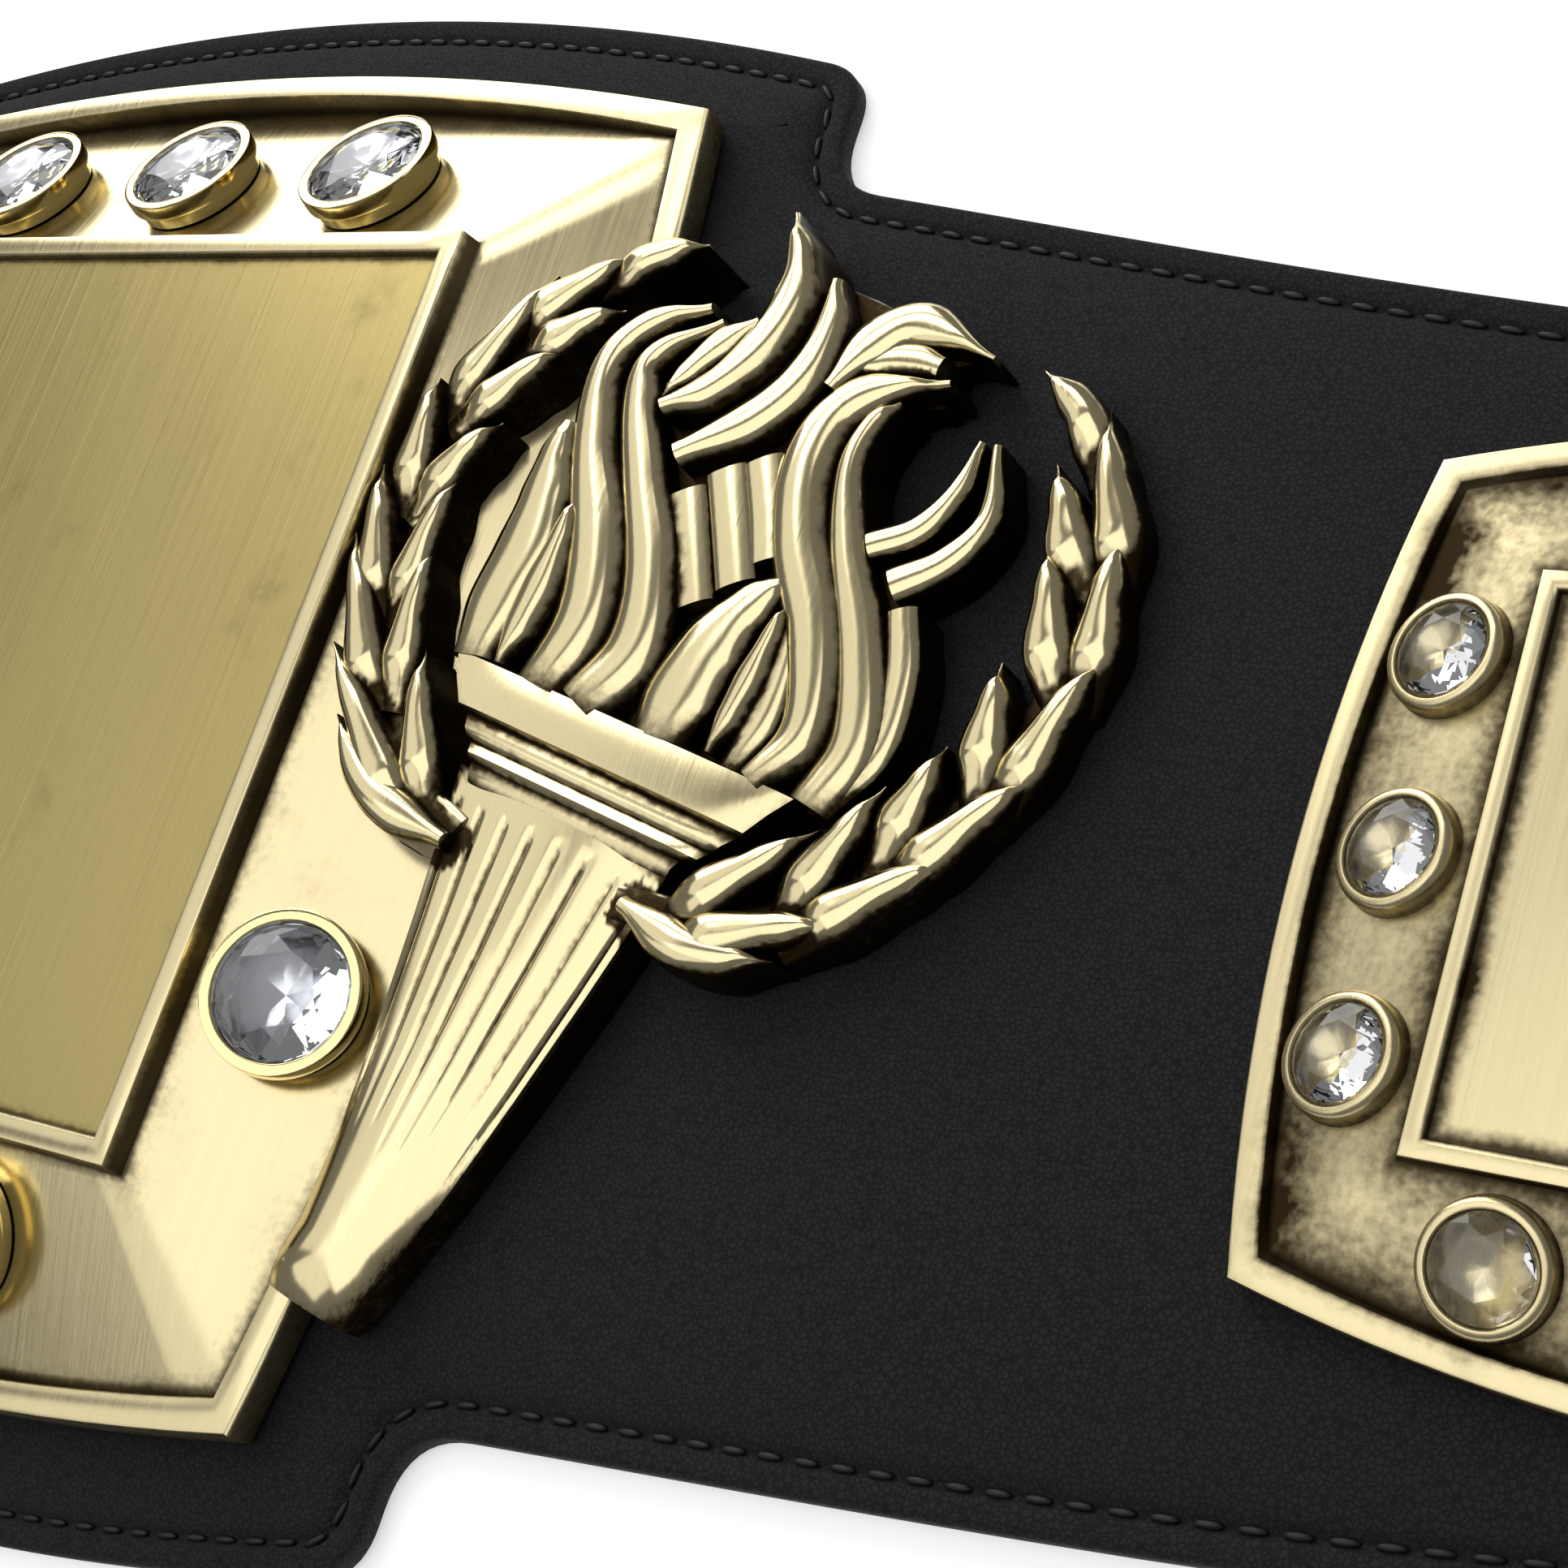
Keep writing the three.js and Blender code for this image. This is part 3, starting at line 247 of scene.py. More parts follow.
# Laurel branches: each row is a pair of leaves that part at the node
LEFT_LEAVES = [
    {"name": "root", "node": (-27, -14), "outer": (-49.4, -2), "inner": (-33.6, 2.4)},
    {"name": "second", "node": (-40, -1), "outer": (-56.6, 14), "inner": (-42, 17)},
    {"name": "third", "node": (-46.7, 10.4), "outer": (-58.6, 24.6), "inner": (-44.6, 27.3)},
    {"name": "fourth", "node": (-51, 26.4), "outer": (-58, 39.7), "inner": (-43, 36.6)},
    {"name": "fifth", "node": (-50.4, 41), "outer": (-48.4, 60.2), "inner": (-39.6, 50)},
    {"name": "sixth", "node": (-45, 53.4), "outer": (-37.4, 67), "inner": (-34, 58.4)},
]
RIGHT_LEAVES = [
    {"name": "root", "node": (28, -13.4), "outer": (46.4, -7.6), "inner": (36.4, 2)},
    {"name": "second", "node": (41, -5.4), "outer": (55.6, 5.4), "inner": (41.7, 10.4)},
    {"name": "third", "node": (48.6, 6), "outer": (60, 18.8), "inner": (46.6, 18)},
    {"name": "fourth", "node": (54, 19.6), "outer": (60, 35.8), "inner": (47.6, 30.4)},
    {"name": "fifth", "node": (54.8, 35.4), "outer": (54, 51.6), "inner": (45.2, 46.8)},
    {"name": "sixth", "node": (50.4, 49), "outer": (43.6, 66), "inner": (40.6, 57)},
]
LEAF = {"half": 3.1, "rise": 1.7, "root": 8.0, "sink": 3.2, "bow": 0.4}
LEAF_WIDTHS = (0.9, 1.15, 0.78, 0.04)
END_LEAF_WIDTHS = (0.45, 1.0, 0.85, 0.05)
LEAF_DROPS = (1.0, 0.1, 0.0, 0.1)
LEFT_BRANCH = {
    "stem": [(-14, -18), (-26, -14.6), (-36, -5), (-47, 12), (-50, 30), (-46, 52)],
    "skirt": [(-14, -20), (-29, -18.5), (-42, -11)],
    "end": [(-42, 59), (-35, 66.6), (-26.6, 71.4)],
}
RIGHT_BRANCH = {
    "stem": [(14, -17), (27, -13.8), (38, -7.4), (49, 8), (54, 28), (49, 52)],
    "skirt": [(16, -17), (28, -18.6), (39.6, -15.2)],
    "end": [(46, 56), (41, 64), (32.4, 68.4)],
}
STEM = {"half": 2.4, "rise": 0.6, "start": 1.6, "drop": 3.0}
SKIRT_DROPS = (1.0, 0.3, 0.8)
RIDGE_STEPS = 9
# Patina and painted shade in the grooves: cell and reach of the search, fall by distance, depths where it
# starts and is full
RECESS = {"cell": 0.6, "reach": 2.4, "slope": 0.38, "clear": 0.06, "full": 0.75}
# Section of a cast ridge from its middle to its foot, as shares of its half width and of its rise
# Its patina column darkens the flanks, edges and walls: patina and painted shade
RIDGE_SECTION = [
    {"name": "crest", "across": 0.0, "rise": 1.0, "drop": 0.0, "patina_and_shade": 0.0},
    {"name": "crown", "across": 0.25, "rise": 0.97, "drop": 0.0, "patina_and_shade": 0.0},
    {"name": "upper side", "across": 0.48, "rise": 0.88, "drop": 0.0, "patina_and_shade": 0.0},
    {"name": "side", "across": 0.68, "rise": 0.7, "drop": 0.0, "patina_and_shade": 0.05},
    {"name": "flank", "across": 0.83, "rise": 0.46, "drop": 0.0, "patina_and_shade": 0.15},
    {"name": "shoulder", "across": 0.93, "rise": 0.2, "drop": 0.0, "patina_and_shade": 0.3},
    {"name": "edge", "across": 0.98, "rise": 0.0, "drop": 0.1, "patina_and_shade": 0.5},
    {"name": "wall top", "across": 1.0, "rise": 0.0, "drop": 0.6, "patina_and_shade": 0.8},
    {"name": "wall", "across": 1.0, "rise": 0.0, "drop": 2.4, "patina_and_shade": 1.0},
]

# Press studs on the strap's ends
SNAP = {"from_end": 40.0, "row_share": 0.46, "sides": 40}
SNAP_PROFILE = [
    {"name": "cap middle", "radius": 0.0, "height": 8.4},
    {"name": "cap crown", "radius": 2.4, "height": 8.25},
    {"name": "cap dish", "radius": 4.2, "height": 7.95},
    {"name": "cap ring", "radius": 5.0, "height": 8.1},
    {"name": "cap shoulder", "radius": 6.2, "height": 7.95},
    {"name": "cap side", "radius": 7.3, "height": 7.4},
    {"name": "cap edge", "radius": 7.5, "height": 6.95},
    {"name": "cap foot", "radius": 7.3, "height": 6.7},
    {"name": "post top", "radius": 2.2, "height": 6.7},
    {"name": "post foot", "radius": 2.2, "height": 1.5},
    {"name": "foot top", "radius": 4.6, "height": 1.5},
    {"name": "foot edge", "radius": 4.6, "height": 0.4},
    {"name": "foot centre", "radius": 0.0, "height": 0.4},
]

# Least roughness of the leather, and the floor: half size, height, own light
LEATHER_ROUGHNESS = 0.83
FLOOR = {"half": 6.0, "height": -0.0005, "glow": 0.55}
WORLD_GLOW = 0.18
LIGHT_AIM = (0.15, 0, 0)
# Soft studio lights in metres, with the brightness that each shows in a mirror
LIGHTS = [
    {"name": "back light", "place": (-0.84, 1.2, 0.62), "size": (1.05, 1.0), "glow": 2.8},
    {"name": "edge light", "place": (-0.45, 0.95, 1.3), "size": (0.9, 0.4), "glow": 2.4},
    {"name": "top light", "place": (0.0, -0.12, 1.6), "size": (1.4, 1.3), "glow": 1.2},
    {"name": "left light", "place": (-1.0, 0.35, 1.25), "size": (0.9, 0.8), "glow": 0.74},
    {"name": "front light", "place": (-0.8, -0.6, 1.2), "size": (0.9, 0.8), "glow": 0.8},
]

# Camera: place in metres, its right and up directions, and the lens for a 36 mm sensor
CAMERA = {
    "place": (0.3404, -0.0944, 0.2774), "right": (0.8205, 0.3000, -0.4865), "up": (-0.1041, 0.9154, 0.3889),
    "lens": 61.49, "sensor": 36.0,
}


class BeltSizes(bpy.types.PropertyGroup):
    stitch_pitch: bpy.props.FloatProperty(
        name="Stitch Pitch", description="Distance from one stitch to the next", default=0.005, unit="LENGTH")
    stitch_length: bpy.props.FloatProperty(
        name="Stitch Length", description="Length of a stitch on the face", default=0.0038, unit="LENGTH")
    stitch_width: bpy.props.FloatProperty(
        name="Stitch Width", description="Thickness of the thread", default=0.0011, unit="LENGTH")
    grain: bpy.props.FloatProperty(
        name="Leather Grain", description="Size of the leather's pebbles", default=0.0008, unit="LENGTH")
    light: bpy.props.FloatProperty(
        name="Light", description="Strength of the studio lights", default=1.0, min=0.0)


class BeltColours(bpy.types.PropertyGroup):
    leather: bpy.props.FloatVectorProperty(
        name="Leather", description="Dyed leather", default=(0.011, 0.011, 0.0112), subtype="COLOR", size=3)
    thread: bpy.props.FloatVectorProperty(
        name="Thread", description="Sewing thread", default=(0.003, 0.003, 0.0032), subtype="COLOR", size=3)
    gold: bpy.props.FloatVectorProperty(
        name="Gold", description="Polished plating", default=(0.82, 0.70, 0.41), subtype="COLOR", size=3)
    bright_gold: bpy.props.FloatVectorProperty(
        name="Bezel Gold", description="Bright plating of the bezels", default=(0.90, 0.76, 0.38),
        subtype="COLOR", size=3)
    panel_gold: bpy.props.FloatVectorProperty(
        name="Panel Gold", description="Brushed plating of the bare panel", default=(0.60, 0.48, 0.19),
        subtype="COLOR", size=3)
    # Dark tone of the patina and of the painted shade in recesses and grooves
    patina_and_shade: bpy.props.FloatVectorProperty(
        name="Patina and Shade", description="Dark tone left in the recesses", default=(0.035, 0.022, 0.008),
        subtype="COLOR", size=3)
    glass: bpy.props.FloatVectorProperty(
        name="Glass", description="Cut stones", default=(0.97, 0.98, 1.0), subtype="COLOR", size=3)


# Meshes
def mirrored(parts):
    """The same parts on the other side of the belt, with their faces turned to point outwards."""
    verts, faces, marks = parts
    return [(-x, y, z) for x, y, z in verts], [tuple(reversed(face)) for face in faces], list(marks)


def recessed(parts):
    """The same parts with more patina and painted shade where neighbouring forms stand higher, as in a
    groove.
    """
    verts, faces, marks = parts
    cell, reach = RECESS["cell"], RECESS["reach"]
    tops = {}
    for x, y, z in verts:
        key = (math.floor(x / cell), math.floor(y / cell))
        tops[key] = max(z, tops.get(key, z))
    span = int(reach / cell)
    around = [(i, j, RECESS["slope"] * cell * math.hypot(i, j)) for i in range(-span, span + 1)
              for j in range(-span, span + 1) if 0 < math.hypot(i, j) * cell <= reach]
    darker = []
    for (x, y, z), mark in zip(verts, marks):
        i0, j0 = math.floor(x / cell), math.floor(y / cell)
        depth = max((tops.get((i0 + i, j0 + j), -100.0) - z - fall for i, j, fall in around), default=0.0)
        darker.append(min(1.0, mark + max(0.0, depth - RECESS["clear"]) / RECESS["full"]))
    return verts, faces, darker


def joined(several):
    """Several closed shells as one list of corners, faces and patina marks."""
    verts, faces, marks = [], [], []
    for part_verts, part_faces, part_marks in several:
        start = len(verts)
        verts.extend(part_verts)
        faces.extend(tuple(start + i for i in face) for face in part_faces)
        marks.extend(part_marks)
    return verts, faces, marks


def add_piece(name, parts, materials, nodes=(), crease=30, face_materials=None):
    """Makes a piece in the frame from corners in millimetres, and says which frame nodes it stands for."""
    verts, faces, marks = parts
    mesh = bpy.data.meshes.new(name)
    mesh.from_pydata([(x * MM, y * MM, z * MM) for x, y, z in verts], [], faces)
    # Per-corner darkening: patina and painted shade in recesses, grooves and walls
    mesh.attributes.new("patina_and_shade", "FLOAT", "POINT").data.foreach_set("value", marks)
    for material in materials:
        mesh.materials.append(material)
    if face_materials:
        mesh.polygons.foreach_set("material_index", face_materials)
    if crease:
        mesh.polygons.foreach_set("use_smooth", [True] * len(mesh.polygons))
        mesh.set_sharp_from_angle(angle=math.radians(crease))
    mesh.update()
    obj = bpy.data.objects.new(name, mesh)
    bpy.context.scene.collection.objects.link(obj)
    return finished(obj, nodes)


def finished(obj, nodes=()):
    """Declares a finished piece to the frame."""
    if nodes:
        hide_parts(*nodes)
    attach(obj, "root")
    return obj


def skin(loops, marks):
    """A closed skin through loops of equal length, counter-clockwise from above, underside first."""
    count = len(loops[0])
    verts = [corner for loop in loops for corner in loop]
    faces = [tuple(reversed(range(count)))]
    for k in range(len(loops) - 1):
        for i in range(count):
            a, b = k * count + i, k * count + (i + 1) % count
            faces.append((a, b, b + count, a + count))
    last = (len(loops) - 1) * count
    faces.append(tuple(range(last, last + count)))
    spread = [mark for mark in marks for _ in range(count)]
    return verts, faces, spread


def smooth_path(points, steps):
    """Points on a smooth curve through the given ones, with the share of the way that each lies at."""
    path = []
    last = len(points) - 1
    for i in range(last * steps + 1):
        segment = min(i // steps, last - 1)
        t = i / steps - segment
        p1, p2 = Vector(points[segment]), Vector(points[segment + 1])
        p0 = Vector(points[segment - 1]) if segment else p1 * 2 - p2
        p3 = Vector(points[segment + 2]) if segment + 2 <= last else p2 * 2 - p1
        place = 0.5 * (2 * p1 + (p2 - p0) * t + (2 * p0 - 5 * p1 + 4 * p2 - p3) * t * t
                       + (3 * p1 - p0 - 3 * p2 + p3) * t ** 3)
        path.append((place, i / (last * steps)))
    return path


def blended(values, share):
    """A value from an evenly spread row, eased between its entries."""
    at = share * (len(values) - 1)
    low = min(int(at), len(values) - 2)
    t = at - low
    t = t * t * (3 - 2 * t)
    return values[low] * (1 - t) + values[low + 1] * t


# Strap
def flare_half(x):
    return STRAP["flare_half_height"] - x * x / (2 * STRAP["flare_arc_radius"])


def band_half(x, side):
    """Half height of the band at x, on a smooth line through its rows."""
    neck = STRAP["neck_" + side]
    span = STRAP["half_length"] - STRAP["flare_half_length"]
    rows = [(STRAP["flare_half_length"] + row["along"] * span,
             STRAP["end_half_height"] + row[side] * (neck - STRAP["end_half_height"])) for row in BAND_ROWS]
    slopes = [(b[1] - a[1]) / (b[0] - a[0]) for a, b in zip(rows, rows[1:])]
    if x <= rows[0][0]:
        return rows[0][1] + slopes[0] * (x - rows[0][0])
    k = min(sum(1 for row in rows[1:] if x > row[0]), len(rows) - 2)
    (x0, y0), (x1, y1) = rows[k], rows[k + 1]
    start = slopes[k] if k == 0 else (slopes[k - 1] + slopes[k]) / 2
    end = slopes[k] if k == len(slopes) - 1 else (slopes[k] + slopes[k + 1]) / 2
    t, width = (x - x0) / (x1 - x0), x1 - x0
    return ((2 * t ** 3 - 3 * t * t + 1) * y0 + (t ** 3 - 2 * t * t + t) * width * start
            + (3 * t * t - 2 * t ** 3) * y1 + (t ** 3 - t * t) * width * end)


def rounded(before, corner, after, radius):
    """Points of a curve that rounds a corner."""
    before, corner, after = Vector(before), Vector(corner), Vector(after)
    start = corner + (before - corner).normalized() * radius
    end = corner + (after - corner).normalized() * radius
    points = []
    for i in range(CORNER_STEPS + 1):
        t = i / CORNER_STEPS
        points.append(tuple(start * (1 - t) ** 2 + corner * 2 * t * (1 - t) + end * t * t))
    return points


def strap_quarter(inset, side):
    """Outline of a quarter of the strap, from above the origin to the middle of the right end."""
    flare_x = STRAP["flare_half_length"] - inset
    end_x = STRAP["half_length"] - inset
    outer = max(STRAP["flare_corner"] - inset * 0.6, 2.5)
    neck = STRAP["neck_corner"] + inset * 0.8
    tail = STRAP["end_corner"] - inset * 0.5
    corner = (flare_x, flare_half(flare_x) - inset)
    foot = (flare_x, band_half(flare_x, side) - inset)
    points = [(flare_x - outer, flare_half(flare_x - outer) - inset)]
    flare = [(points[0][0] * i / FLARE_STEPS, flare_half(points[0][0] * i / FLARE_STEPS) - inset)
             for i in range(FLARE_STEPS)]
    onward = (flare_x + neck, band_half(flare_x + neck, side) - inset)
    taper_start, taper_end = flare_x + neck, end_x - tail
    taper = []
    for i in range(1, TAPER_STEPS):
        x = taper_start + (taper_end - taper_start) * i / TAPER_STEPS
        taper.append((x, band_half(x, side) - inset))
    end_corner = (end_x, band_half(end_x, side) - inset)
    before_end = (taper_end, band_half(taper_end, side) - inset)
    return (flare + rounded(points[0], corner, foot, outer) + rounded(corner, foot, onward, neck) + taper
            + rounded(before_end, end_corner, (end_x, 0), tail) + [(end_x, 0)])


def strap_loop(inset, height):
    upper, lower = strap_quarter(inset, "top"), strap_quarter(inset, "bottom")
    outline = (list(reversed(upper)) + [(-x, y) for x, y in upper[1:]]
               + [(-x, -y) for x, y in reversed(lower[:-1])] + [(x, -y) for x, y in lower[1:-1]])
    return [(x, y, height) for x, y in outline]


# Plates
def frame_halves(plate):
    return plate["half_x"] - plate["band_x"], plate["half_y"] - plate["band_y"]


def bevel_height(plate, x, y):
    """Height of the bevel bands at a place measured from the plate's middle."""
    frame_x, frame_y = frame_halves(plate)
    out = max(abs(x) - frame_x, abs(y) - frame_y, 0)
    return plate["frame_base"] - plate["slope"] * out


def panel_loop(plate, half_x, half_y, bow, height):
    """A four-sided loop round the plate, whose sides bow outward."""
    corners = [(half_x, -half_y), (half_x, half_y), (-half_x, half_y), (-half_x, -half_y)]
    sides = [(plate["bulge_x"], (1, 0)), (plate["bulge_y"], (0, 1)), (plate["bulge_x"], (-1, 0)),
             (plate["bulge_y"], (0, -1))]
    points = []
    for k, (bulge, normal) in enumerate(sides):
        start, end = corners[k], corners[(k + 1) % 4]
        for i in range(ARC_STEPS):
            s = i / ARC_STEPS
            out = bow * bulge * (1 - (2 * s - 1) ** 2)
            x = start[0] + (end[0] - start[0]) * s + normal[0] * out
            y = start[1] + (end[1] - start[1]) * s + normal[1] * out
            points.append((plate["centre_x"] + x, plate["centre_y"] + y, height(x, y)))
    return points


def rim_loop(plate, inset, height):
    return panel_loop(plate, plate["half_x"] - inset, plate["half_y"] - inset, 1, lambda x, y: height)


def frame_loop(plate, inset, height):
    frame_x, frame_y = frame_halves(plate)
    return panel_loop(plate, frame_x - inset, frame_y - inset, 0, lambda x, y: height)


def bevel_loop(plate, share, lift):
    """A loop on the bevel bands: share 0 at the step inside the rim, 1 at the raised frame."""
    frame_x, frame_y = frame_halves(plate)
    rim = plate["rim"] + plate["step"]
    half_x = plate["half_x"] - rim + (frame_x - plate["half_x"] + rim) * share
    half_y = plate["half_y"] - rim + (frame_y - plate["half_y"] + rim) * share
    return panel_loop(plate, half_x, half_y, 1 - share, lambda x, y: bevel_height(plate, x, y) + lift)


def plate_parts(plate, panel_edge, age=0.0):
    """The plate's skin, with its patina and painted shade heaviest in the step, at the frame's foot and round
    the panel.
    """
    top, frame_top, width = plate["rim_top"], plate["frame_top"], plate["frame_width"]
    panel = frame_top - plate["panel_depth"]
    inner = width + plate["draft"]
    rows = [
        (rim_loop(plate, 0, STRAP["pad_top"] + SEAT_GAP), 0.9),
        (rim_loop(plate, 0, top - plate["edge"] - 0.9), 0.6),
        (rim_loop(plate, 0, top - plate["edge"]), 0.15),
        (rim_loop(plate, plate["edge"] * 0.3, top - plate["edge"] * 0.3), 0.0),
        (rim_loop(plate, plate["edge"], top), 0.0),
        (rim_loop(plate, plate["rim"] - 0.7, top), 0.05),
        (rim_loop(plate, plate["rim"] - 0.2, top - 0.05), 0.3),
        (rim_loop(plate, plate["rim"], top - 0.3), 0.9),
        (bevel_loop(plate, -0.03, -0.35), 1.0),
        (bevel_loop(plate, 0.0, 0.0), 0.85),
        (bevel_loop(plate, 0.03, 0.0), 0.5),
        (bevel_loop(plate, 0.09, 0.0), 0.2),
        (bevel_loop(plate, 0.25, 0.0), 0.03),
        (bevel_loop(plate, 0.6, 0.0), 0.0),
        (bevel_loop(plate, 0.85, 0.0), 0.05),
        (bevel_loop(plate, 0.95, 0.0), 0.25),
        (bevel_loop(plate, 0.985, 0.0), 0.6),
        (frame_loop(plate, 0, plate["frame_base"] + 0.1), 1.0),
        (frame_loop(plate, plate["draft"] * 0.5, (plate["frame_base"] + frame_top) / 2), 1.0),
        (frame_loop(plate, plate["draft"], frame_top - 0.35), 0.5),
        (frame_loop(plate, plate["draft"] + 0.12, frame_top - 0.1), 0.0),
        (frame_loop(plate, plate["draft"] + 0.4, frame_top), 0.0),
        (frame_loop(plate, width - 0.7, frame_top), 0.0),
        (frame_loop(plate, width - 0.3, frame_top - 0.05), 0.2),
        (frame_loop(plate, width, frame_top - 0.3), 0.8),
        (frame_loop(plate, inner, panel + 0.1), 1.0),
        (frame_loop(plate, inner + 0.3, panel), 0.8),
        (frame_loop(plate, inner + panel_edge * 0.35, panel), 0.35),
        (frame_loop(plate, inner + panel_edge, panel), 0.0),
    ]
    marks = [mark + age * (1 - mark) * share for (_, mark), share in zip(rows, AGE_SHARES)]
    return skin([loop for loop, _ in rows], marks)


def band_place(plate, row):
    """A place on a bevel band from its shares along the half side and out from the frame."""
    frame_x, frame_y = frame_halves(plate)
    rim = plate["rim"] + plate["step"]
    bow = 1 - row["along"] ** 2
    outer_x = plate["half_x"] + plate["bulge_x"] * bow - rim
    outer_y = plate["half_y"] + plate["bulge_y"] * bow - rim
    side_x, side_y = row["side"]
    if side_x:
        return side_x * (frame_x + (outer_x - frame_x) * row["out"]), row["along"] * plate["half_y"]
    return row["along"] * plate["half_x"], side_y * (frame_y + (outer_y - frame_y) * row["out"])


def on_bevel(plate, x, y, lift):
    """Turn and place of a piece that stands on a bevel band, its axis along the band's normal."""
    frame_x, frame_y = frame_halves(plate)
    on_side = abs(x) - frame_x > abs(y) - frame_y
    tilt = (plate["slope"] * math.copysign(1, x), 0) if on_side else (0, plate["slope"] * math.copysign(1, y))
    normal = Vector((tilt[0], tilt[1], 1)).normalized()
    turn = Vector((0, 0, 1)).rotation_difference(normal).to_matrix().to_4x4()
    place = Vector((plate["centre_x"] + x, plate["centre_y"] + y, bevel_height(plate, x, y)))
    return Matrix.Translation(place + normal * lift) @ turn


def placed(parts, matrix):
    """The same parts turned and moved to their seat."""
    verts, faces, marks = parts
    return [tuple(matrix @ Vector(v)) for v in verts], faces, marks


def turned(profile, sides, mark):
    """A closed piece turned round the vertical axis; the profile starts and ends on the axis."""
    verts, faces, marks = [], [], []
    rings = [row for row in profile if row["radius"] > 0]
    for row in rings:
        for i in range(sides):
            angle = 2 * math.pi * i / sides
            verts.append((row["radius"] * math.cos(angle), row["radius"] * math.sin(angle), row["height"]))
            marks.append(mark(row))
    for row in (profile[0], profile[-1]):
        verts.append((0, 0, row["height"]))
        marks.append(mark(row))
    first, last = len(verts) - 2, len(verts) - 1
    end = (len(rings) - 1) * sides
    for i in range(sides):
        j = (i + 1) % sides
        faces.append((first, i, j))
        for k in range(0, end, sides):
            faces.append((k + i, k + i + sides, k + j + sides, k + j))
        faces.append((end + i, last, end + j))
    return verts, faces, marks


def brilliant(cut):
    """A cut stone: table, star, kite and girdle facets above, and two rows of facets below."""
    verts, faces = [], []
    facets = 8
    step = 2 * math.pi / facets
    ease = math.cos(step / 2)
    top = cut["girdle"] + cut["crown"]
    low = cut["girdle"] - cut["belt"]
    mid_radius = cut["table"] + (cut["radius"] - cut["table"]) * 0.55
    mid_height = top - cut["crown"] * (mid_radius * ease - cut["table"]) / (cut["radius"] - cut["table"])
    pit_radius = cut["radius"] * 0.3
    pit_height = low - cut["pavilion"] * (1 - pit_radius * ease / cut["radius"])

    def ring(radius, height, count, turn):
        start = len(verts)
        for i in range(count):
            angle = 2 * math.pi * (i + turn) / count
            verts.append((radius * math.cos(angle), radius * math.sin(angle), height))
        return start

    table = ring(cut["table"], top, facets, 0)
    mid = ring(mid_radius, mid_height, facets, 0.5)
    girdle = ring(cut["radius"], cut["girdle"], 2 * facets, 0)
    under = ring(cut["radius"], low, 2 * facets, 0)
    pit = ring(pit_radius, pit_height, facets, 0.5)
    culet = ring(0, low - cut["pavilion"], 1, 0)
    faces.append(tuple(table + i for i in range(facets)))
    for i in range(facets):
        after, back = (i + 1) % facets, (i - 1) % facets
        g0, g1, g2 = 2 * i, 2 * i + 1, (2 * i + 2) % (2 * facets)
        faces.append((table + i, mid + i, table + after))
        faces.append((table + i, mid + back, girdle + g0, mid + i))
        faces.append((mid + i, girdle + g0, girdle + g1))
        faces.append((mid + i, girdle + g1, girdle + g2))
        faces.append((girdle + g0, under + g0, under + g1, girdle + g1))
        faces.append((girdle + g1, under + g1, under + g2, girdle + g2))
        faces.append((under + g0, pit + i, under + g1))
        faces.append((under + g1, pit + i, under + g2))
        faces.append((culet, pit + i, under + g0, pit + back))
    return verts, faces, [0.0] * len(verts)


def side_stone_places():
    frame_x, frame_y = frame_halves(SIDE)
    row_x, row_y = frame_x + SIDE_ROW["from_frame"], frame_y + SIDE_ROW["from_frame"]
    places = []
    for step in (-1, 0, 1):
        along = step * SIDE_ROW["spacing"]
        places.extend([
            {"name": f"top_{step + 2}", "x": along, "y": row_y},
            {"name": f"bottom_{step + 2}", "x": along, "y": -row_y},
            {"name": f"inner_{step + 2}", "x": -row_x, "y": along},
            {"name": f"outer_{step + 2}", "x": row_x, "y": along},
        ])
    return places


# Torch casting
def torch_place(u, v, z):
    lean = math.radians(TORCH["lean"])
    x = MAIN["half_x"] + TORCH["beyond_plate"] + u * math.cos(lean) + v * math.sin(lean)
    y = TORCH["origin_y"] - u * math.sin(lean) + v * math.cos(lean)
    return x, y, z


def face_height(u, v):
    x = torch_place(u, v, 0)[0]
    return TORCH["face_at_frame"] - (x - MAIN["half_x"] + MAIN["band_x"]) * TORCH["face_slope"]


def casting_foot(u, v):
    """Where the casting's walls end: on the plate where it reaches over it, else on the strap."""
    x, y, _ = torch_place(u, v, 0)
    bow = 1 - (y / MAIN["half_y"]) ** 2
    edge = MAIN["half_x"] + MAIN["bulge_x"] * bow + SEAT_GAP
    if x > edge:
        return TORCH["foot"]
    if x > edge - MAIN["rim"] - MAIN["step"]:
        return MAIN["rim_top"] + SEAT_GAP
    return bevel_height(MAIN, x, y) + SEAT_GAP


